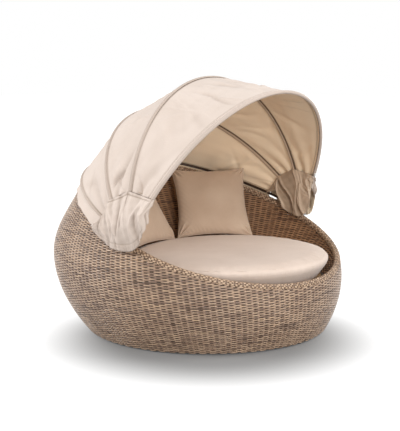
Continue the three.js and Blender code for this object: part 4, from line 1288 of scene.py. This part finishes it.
# Hem skirt
# The rear gore's lower edge carries a short skirt that hangs over the lowest hoop and the rim
# outside. It is hemmed with two rows of stitches.
skirt_drop = 0.062
skirt_standoff = 0.006
skirt_share_end = 0.004
skirt_columns = 221
skirt_ripple = 0.0035
skirt_ripple_in = 0.003
skirt_stitch_depth = 0.0012
skirt_flare = 0.0045
skirt_sleeve_radius = sleeve_radius + 0.0004
skirt_middle = np.array([0, 0.1, 0.9])
share = np.linspace(skirt_share_end, 1 - skirt_share_end, skirt_columns)
start = hoop_point("hem", turn_at("hem", share))
level = level_out(start)
top_direction = ridge(0, share)
first_turn = np.arccos(np.clip(np.sum(top_direction * level, -1), -1, 1))
over = np.linspace(1, 0, 6)[:, None]
square = unit(top_direction - np.sum(top_direction * level, -1, keepdims=True) * level)
over_hoop = sleeve_arc(start, square, level, first_turn * over, skirt_sleeve_radius)
hang = np.array([0.06, 0.14, 0.26, 0.4, 0.54, 0.66, 0.74, 0.78, 0.82, 0.9, 0.96, 1.0])[:, None]
z = start[None, :, 2] - skirt_drop * hang
centre_y = bowl_centre_y + bowl_lean_share * z
beside = start + skirt_sleeve_radius * level
beside_reach = np.hypot(beside[None, :, 0], beside[None, :, 1] - centre_y)
least_reach = bowl_radius(z) + skirt_standoff
reach = np.maximum(beside_reach + (least_reach - beside_reach) * hang, least_reach)
ripple = np.sin(58 * share + 2 * np.sin(9 * share)) + 0.5 * np.sin(131 * share + 1.0)
ripple = skirt_ripple * hang**1.5 * ripple
stitch = -skirt_stitch_depth * bell(hang - 0.76, 0.02)
reach = reach + np.maximum(ripple, -skirt_ripple_in) + stitch + skirt_flare * hang
wider = reach / beside_reach
hanging = stacked(beside[None, :, 0] * wider, centre_y + (beside[None, :, 1] - centre_y) * wider, z)
grid = np.concatenate([over_hoop, hanging])
along, across = run_along(grid[len(over)]), run_along(grid[:, skirt_columns // 2])
marks = stacked(along[None, :], across[:, None], 9.0)
cloths = [hood_outside, lit_hood_inside]
piece = sheet_shell(grid, canvas_thickness, skirt_middle, marks, "hem_skirt_cloth", cloths)
hand_over(piece, "base", "hem_skirt")

# Corner panels
# At each side a loose panel of canvas is gathered on to the lower ends of the gores and hangs
# round the hinge. It lies in soft crumpled folds, with a wide stitched hem along its curved edge.
left_hem_behind = [0.97, 0.76, 0.56, 0.37, 0.15, -0.05, -0.25, -0.45, -0.58]
left_hem_above = [0.11, 0, -0.11, -0.19, -0.23, -0.23, -0.19, -0.05, 0.22]
right_hem_behind = [0.97, 0.76, 0.56, 0.40, 0.22, 0.06, -0.10, -0.20, -0.26]
right_hem_above = [0.11, 0, -0.11, -0.16, -0.17, -0.16, -0.12, 0.02, 0.30]
left_hem = seam_reach * np.stack([left_hem_behind, left_hem_above], axis=1)
right_hem = seam_reach * np.stack([right_hem_behind, right_hem_above], axis=1)
both_sides = ((1, "right"), (-1, "left"))
nut_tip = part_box("hinge_nut_right")[1][0]
over_nut = 0.004
corner_ridge = 0.017
corner_crumple = 0.0016
corner_gather = 0.0018
corner_puff = 0.008
corner_lip = 0.006
corner_pleat = 0.0022
corner_drift = 0.006
corner_hem_share = 0.87
corner_spread_share = 0.78
corner_wide = 0.22
right_draw_in = 0.026
corner_rows = 54
corner_columns = 64
corner_down = (np.linspace(0, 1, corner_rows) ** 1.15)[:, None]


def smooth_line(corners, share):
    """A smooth curve through the corners: cubic pieces whose slope at each corner is that of the line
    between its neighbours, over the summed lengths."""
    lengths = run_along(corners)
    slope = np.gradient(corners, lengths, axis=0)
    at = np.asarray(share) * lengths[-1]
    before = np.clip(np.searchsorted(lengths, at, side="right") - 1, 0, len(corners) - 2)
    step = (lengths[before + 1] - lengths[before])[..., None]
    way = (at - lengths[before])[..., None] / step
    return (
        (2 * way**3 - 3 * way**2 + 1) * corners[before]
        + (way**3 - 2 * way**2 + way) * step * slope[before]
        + (3 * way**2 - 2 * way**3) * corners[before + 1]
        + (way**3 - way**2) * step * slope[before + 1]
    )


def corner_folds(share, down, seed):
    """Height of the gathered cloth: ridges of many widths, each a rounded crest along a line that
    slants and bends from seam to hem and fades at its two ends, over shallow crumples."""
    random = np.random.default_rng(seed)
    total = np.zeros(np.broadcast(share, down).shape)
    for _ in range(20):
        place, slant, wide = random.uniform(0, 1), random.uniform(-0.22, 0.22), random.uniform(0.010, 0.030)
        middle, length = random.uniform(0.2, 0.8), random.uniform(0.35, 0.9)
        high = random.uniform(0.35, 1.0) * random.choice([1, 1, -0.7])
        bend = 0.035 * np.sin(5 * down + 11 * place)
        across = np.abs(share - place - slant * (down - 0.5) - bend) / wide
        total += high * np.exp(-(across**1.3)) * np.exp(-(np.abs((down - middle) / length) ** 3))
    crumple = np.sin(37 * share + 13 * down + seed) * np.sin(19 * share - 27 * down + 2 * seed)
    gathers = np.sin(full_turn * 34 * share + 2 * np.sin(40 * share)) * np.exp(-down / 0.10)
    ridges = np.clip(total, -0.5, 1.6) + 0.5
    return corner_ridge * ridges + corner_crumple * (1 + crumple) + corner_gather * gathers


def gore_edge(order, at, local):
    """The gore at one share along its hoops, from the lower hoop to the higher one, with the direction
    out of the cloth."""
    start, end, _, out_low, out_high = (value[0] for value in gore_span(order, np.array([at])))
    return start + (end - start) * local[:, None], unit(out_low + (out_high - out_low) * local[:, None])


def corner_grid(order, side):
    """The sector of the panel between two hoops: from the seam under the gore to the curved hem,
    spread outwards by a sine so that it clears the hinge, with the folds laid on outwards."""
    local = np.linspace(0, 1, corner_columns)
    share = (order + local) / 3
    edge, out = gore_edge(order, 0.0 if side > 0 else 1.0, local)
    seam = edge + sleeve_radius * out * (1 - 0.6 * np.sin(np.pi * local)[:, None])
    hem_flat = smooth_line(right_hem if side > 0 else left_hem, share)
    place_y, place_z = hinge_y + hem_flat[:, 0], hinge_height + hem_flat[:, 1]
    centre_y = bowl_centre_y + bowl_lean_share * place_z
    radius = bowl_radius(np.minimum(place_z, rim_middle_height)) + skirt_standoff
    on_bowl = np.sqrt(radius**2 - (place_y - centre_y) ** 2)
    hem = stacked(side * np.maximum(on_bowl, nut_tip + over_nut), place_y, place_z)
    down, along = corner_down, share[None, :]
    grid = seam[None] * (1 - down[..., None]) + hem[None] * down[..., None]
    spread = np.sin(np.minimum(1, down / corner_spread_share) * np.pi / 2)
    grid[..., 0] = seam[:, 0] + (hem[:, 0] - seam[:, 0]) * spread
    swell = np.sin(np.pi * down**0.8)
    folds = corner_folds(along, down, 11 + side)
    gathers = 1 + 0.6 * np.sin(47 * along + 3 * np.sin(17 * along))
    lip = corner_lip * bell(down - 0.02, 0.02) * gathers
    band = np.clip((down - corner_hem_share + 0.01) / 0.03, 0, 1)
    pleats = band * corner_pleat * (1 + np.sin(full_turn * 26 * along + 3 * np.sin(23 * along)))
    hem_crease = -corner_pleat * bell(down - corner_hem_share, 0.010)
    fullness = np.clip(down / 0.10, 0, 1) * (0.35 + 0.65 * np.sin(np.pi * np.clip(down, 0, 0.92)))
    grid[..., 0] += side * (swell * corner_puff + folds * fullness + lip + hem_crease + pleats)
    grid[..., 1] += corner_drift * np.sin(full_turn * 3.1 * along + 5 * down) * np.sin(np.pi * down)
    if side > 0 and order == 2:
        grid[..., 0] -= right_draw_in * local**2 * swell
    return grid, seam, folds


def hollows(folds, deep):
    """A painted shade, from deep in the hollows between the folds to 1 on their crests."""
    height = (folds - folds.min()) / (folds.max() - folds.min())
    return deep + (1 - deep) * np.clip(height / 0.45, 0, 1)


def gathered_on(piece, grid, seam, order, word):
    """A loose panel gathered on to the seam between two hoops takes the place of the solid corner panel, and
    its transform is baked into its mesh."""
    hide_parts(f"corner_panel_{word}")
    share = fan_share(seam, order)
    share = (share - share[0]) / (share[-1] - share[0])
    bend_between(piece, order, np.tile(share, 2 * len(grid)))


under_seam = 0.45 * bell(corner_down - 0.05, 0.012)
along_hem = 0.25 * bell(corner_down - corner_hem_share, 0.008)
for side, word in both_sides:
    for order in range(3):
        grid, seam, folds = corner_grid(order, side)
        along = np.linspace(0, corner_wide, corner_columns) + corner_wide * order
        marks = stacked(along[None, :], run_along(grid[:, corner_columns // 2])[:, None], 20.0 + side)
        inner = np.array([0.2 * side, hinge_y, hinge_height])
        # Darker lines under the seam and along the hem, and painted shade in the hollows between the folds.
        shade = (1 - under_seam - along_hem) * hollows(folds, 0.58)
        name = f"corner_panel_{word}_{order + 1}"
        piece = sheet_shell(grid, canvas_thickness, inner, marks, name, cloths, shade)
        gathered_on(piece, grid, seam, order, word)

# Corner linings
# Inside each corner the end of the canvas is tucked in and hangs as a crumpled pouch, so that
# the hoop ends and the hinge don't show from the seat.
right_lining_behind = [0.84, 0.60, 0.46, 0.42, 0.30, 0.10, -0.12, -0.28, -0.38, -0.42, -0.45]
right_lining_above = [0.40, 0.40, 0.24, 0.04, -0.04, -0.11, -0.13, -0.05, 0.12, 0.34, 0.62]
left_lining_behind = right_lining_behind[:6] + [-0.05, -0.12, -0.18, -0.24, -0.36]
left_lining_above = right_lining_above[:6] + [-0.12, -0.02, 0.14, 0.36, 0.66]
right_lining = seam_reach * np.stack([right_lining_behind, right_lining_above], axis=1)
left_lining = seam_reach * np.stack([left_lining_behind, left_lining_above], axis=1)
lining_edge_share = 0.006
lining_seam_in = 0.0150
lining_seam_arch = 0.0110
lining_reach = 0.745
lining_thickness = 0.0014
lining_fold_share = 1.1
lining_drift = 0.008
lining_wide = 0.2
lining_rows = 48
lining_columns = 48


def lining_grid(order, side):
    """The pouch between two hoops: from just inside the seam to its own lower line, drawn in to a
    level place inside the hinge by a sine, with deep crumpled folds laid on inwards."""
    local = np.linspace(0, 1, lining_columns)
    share = (order + local) / 3
    edge, out = gore_edge(order, lining_edge_share if side > 0 else 1 - lining_edge_share, local)
    seam = edge - (lining_seam_in - lining_seam_arch * np.sin(np.pi * local)[:, None]) * out
    low = smooth_line(right_lining if side > 0 else left_lining, share)
    down, along = np.linspace(0, 1, lining_rows)[:, None], share[None, :]
    place_y = seam[:, 1] * (1 - down) + (hinge_y + low[:, 0]) * down
    place_z = seam[:, 2] * (1 - down) + (hinge_height + low[:, 1]) * down
    spread = np.sin(np.minimum(1, down / 0.35) * np.pi / 2)
    across = np.abs(seam[:, 0]) + (lining_reach - np.abs(seam[:, 0])) * spread
    folds = corner_folds(along, down, 40 + side)
    fullness = np.clip(down / 0.08, 0, 1) * (0.45 + 0.55 * np.sin(np.pi * np.clip(down, 0, 0.95)))
    across = across - lining_fold_share * folds * fullness
    place_y = place_y + lining_drift * np.sin(full_turn * 2.3 * along + 6 * down) * np.sin(np.pi * down)
    return stacked(side * across, place_y, place_z), seam, folds


lining_cloth = canvas("lining_cloth", linear(212, 192, 170), linear(196, 174, 152))
for side, word in both_sides:
    for order in range(3):
        grid, seam, folds = lining_grid(order, side)
        along = np.linspace(0, lining_wide, lining_columns) + lining_wide * order
        marks = stacked(along[None, :], run_along(grid[:, lining_columns // 2])[:, None], 30.0 + side)
        outside = np.array([2.0 * side, hinge_y, hinge_height])
        # Painted shade, deep in the hollows of the crumpled folds.
        shade = hollows(folds, 0.30)
        name = f"corner_lining_{word}_{order + 1}"
        piece = sheet_shell(grid, lining_thickness, outside, marks, name, [lining_cloth] * 2, shade)
        gathered_on(piece, grid, seam, order, word)

# Front folds of the corners
# At the front the canvas of a corner is folded in round the hoop, from the outer panel to the
# pouch inside, and is held there by a row of stitches.
fold_columns = 16
fold_bulge = 0.018
fold_crease = 0.007
fold_middle = 0.78
lining_down = np.linspace(0, 1, lining_rows)
fold_down = np.linspace(0, 1, corner_rows)
down, across = fold_down[:, None], np.linspace(0, 1, fold_columns)[None, :]
front_way = -hoop_axes("front")[1]
for side, word in both_sides:
    outer_edge = corner_grid(2, side)[0][:, -1]
    inner_edge = lining_grid(2, side)[0][:, -1]
    inner_edge = np.stack([np.interp(fold_down, lining_down, line) for line in inner_edge.T], axis=-1)
    grid = outer_edge[:, None] * (1 - across[..., None]) + inner_edge[:, None] * across[..., None]
    bulge = fold_bulge * np.sin(np.pi * across) * (0.6 + 0.4 * np.sin(9 * down + side))
    crease = fold_crease * np.sin(17 * across + 5 * down) * np.sin(np.pi * across)
    grid = grid + (bulge + crease)[..., None] * front_way
    marks = stacked(0.15 * across, 0.2 * down, 40.0 + side)
    inner = np.array([fold_middle * side, hinge_y, hinge_height])
    # Painted shade: the fold is darkened overall and in the hollows of its creases.
    shade = 0.86 * hollows(crease, 0.50)
    piece = sheet_shell(grid, lining_thickness, inner, marks, f"corner_fold_{word}", cloths, shade)
    hand_over(piece, "front_hoop", f"corner_panel_{word}")

# Lower sleeves of the front hoop
# Below the seam of the corner the front hoop runs on in a close, crumpled sleeve of the same
# canvas.
lower_sleeve_reaches = (0.226, 0.045)
lower_sleeve_radius = 0.0097
lower_sleeve_crease = 0.0006
for side, word in both_sides:
    reach = np.linspace(*lower_sleeve_reaches, 60)
    turn = np.arcsin(reach / hoops["front"][1])
    line = hoop_point("front", turn if side > 0 else np.pi - turn)
    creased = lower_sleeve_radius + lower_sleeve_crease * np.sin(400 * reach + 3 * np.sin(90 * reach))
    points, faces = open_tube(line, creased, 16, np.broadcast_to(hoop_axes("front")[1], line.shape))
    piece = new_piece(f"front_hoop_lower_sleeve_{word}", points, faces, shaded(points, 1.0), [hood_outside])
    hand_over(piece, "front_hoop")

# Collar of the front sleeve
# A bright ribbed collar holds the end of the front sleeve at the right. At the left the end is
# sewn into the corner.
collar_reaches = (0.284, 0.306)
collar_radius = 0.0126
collar_rib = 0.0006
collar_lip = 0.003
collar_rings = 41
reach = np.linspace(*collar_reaches, collar_rings)
line = hoop_point("front", np.arcsin(reach / hoops["front"][1]))
ribbed = collar_radius - collar_rib * np.abs(np.sin(np.linspace(0, 3 * np.pi, collar_rings)))
ribbed[[0, -1]] = collar_radius - collar_lip
points, faces = open_tube(line, ribbed, 24, np.broadcast_to(hoop_axes("front")[1], line.shape))
piece = new_piece("front_sleeve_collar", points, faces, materials=[bright_metal])
hand_over(piece, "front_hoop")

# Floor and light
# A grey floor that the camera sees as white away from the daybed; near the daybed the white fades out round a
# middle set off to the front left, a painted shadow over the real one. An even sky. Three large soft lamps
# stand behind the left, at the front left and over the front right.
floor_size = 60.0
floor_level = -0.0005
floor_near_white = 0.06
floor_white_from = 0.52
floor_white_at = 1.22
painted_shadow_middle = (-0.27, -0.35, 0)
sky_strength = 0.76


def seen_directly(tree):
    """1 for rays from the camera, in gloss and through glass, and 0 for the light that falls on
    the daybed."""
    rays = tree.nodes.new("ShaderNodeLightPath").outputs
    shown = add_node(tree, "ShaderNodeMath", rays["Is Camera Ray"], rays["Is Glossy Ray"], operation="MAXIMUM")
    through = rays["Is Transmission Ray"]
    return add_node(tree, "ShaderNodeMath", shown.outputs[0], through, operation="MAXIMUM").outputs[0]


half = floor_size / 2
corners = [(x * half, y * half, floor_level) for x, y in ((-1, -1), (1, -1), (1, 1), (-1, 1))]
mesh = bpy.data.meshes.new("floor")
mesh.from_pydata(corners, [], [(0, 1, 2, 3)])
floor = bpy.data.objects.new("floor", mesh)
bpy.context.scene.collection.objects.link(floor)
material, tree, surface = shader("floor_with_painted_shadow")
# The white fades out near the daybed, round a middle set off to the front left: a painted shadow.
away = add_node(tree, "ShaderNodeVectorMath", own_place(tree), painted_shadow_middle, operation="DISTANCE")
glow = ranged(
    tree,
    away.outputs["Value"],
    interpolation_type="SMOOTHSTEP",
    From_Min=floor_white_from,
    From_Max=floor_white_at,
    To_Min=floor_near_white,
    To_Max=1.0,
)
direct = add_node(tree, "ShaderNodeMath", glow, seen_directly(tree), operation="MULTIPLY")
look(tree, surface, Base_Color=(0.22, 0.22, 0.22, 1), Roughness=0.9)
look(tree, surface, Emission_Color=(1, 1, 1, 1), Emission_Strength=direct.outputs[0])
mesh.materials.append(material)


def soft_lamp(name, place, aim, size, power, colour):
    """A square lamp that faces a point."""
    lamp = bpy.data.objects.new(name, bpy.data.lights.new(name, "AREA"))
    lamp.data.shape = "SQUARE"
    lamp.data.size = size
    lamp.data.energy = power
    lamp.data.color = colour
    lamp.location = place
    lamp.rotation_euler = (Vector(aim) - Vector(place)).to_track_quat("-Z", "Y").to_euler()
    bpy.context.scene.collection.objects.link(lamp)


soft_lamp("key_lamp", (-4.3, 2.9, 2.5), (0, 0, 0.6), 2.0, 152, (1, 0.99, 0.98))
soft_lamp("front_lamp", (-2.2, -4.9, 1.8), (0, 0, 0.7), 2.6, 120, (1, 0.985, 0.965))
soft_lamp("top_lamp", (2.2, -3.2, 4.2), (0, -0.2, 0.5), 1.8, 84, (1, 0.99, 0.98))

world = bpy.data.worlds.new("studio")
bpy.context.scene.world = world
world.use_nodes = True
tree = world.node_tree
strength = ranged(tree, seen_directly(tree), To_Min=sky_strength, To_Max=1.0)
look(tree, tree.nodes["Background"], Color=(1, 1, 1, 1), Strength=strength)
bpy.context.scene.view_settings.view_transform = "Standard"
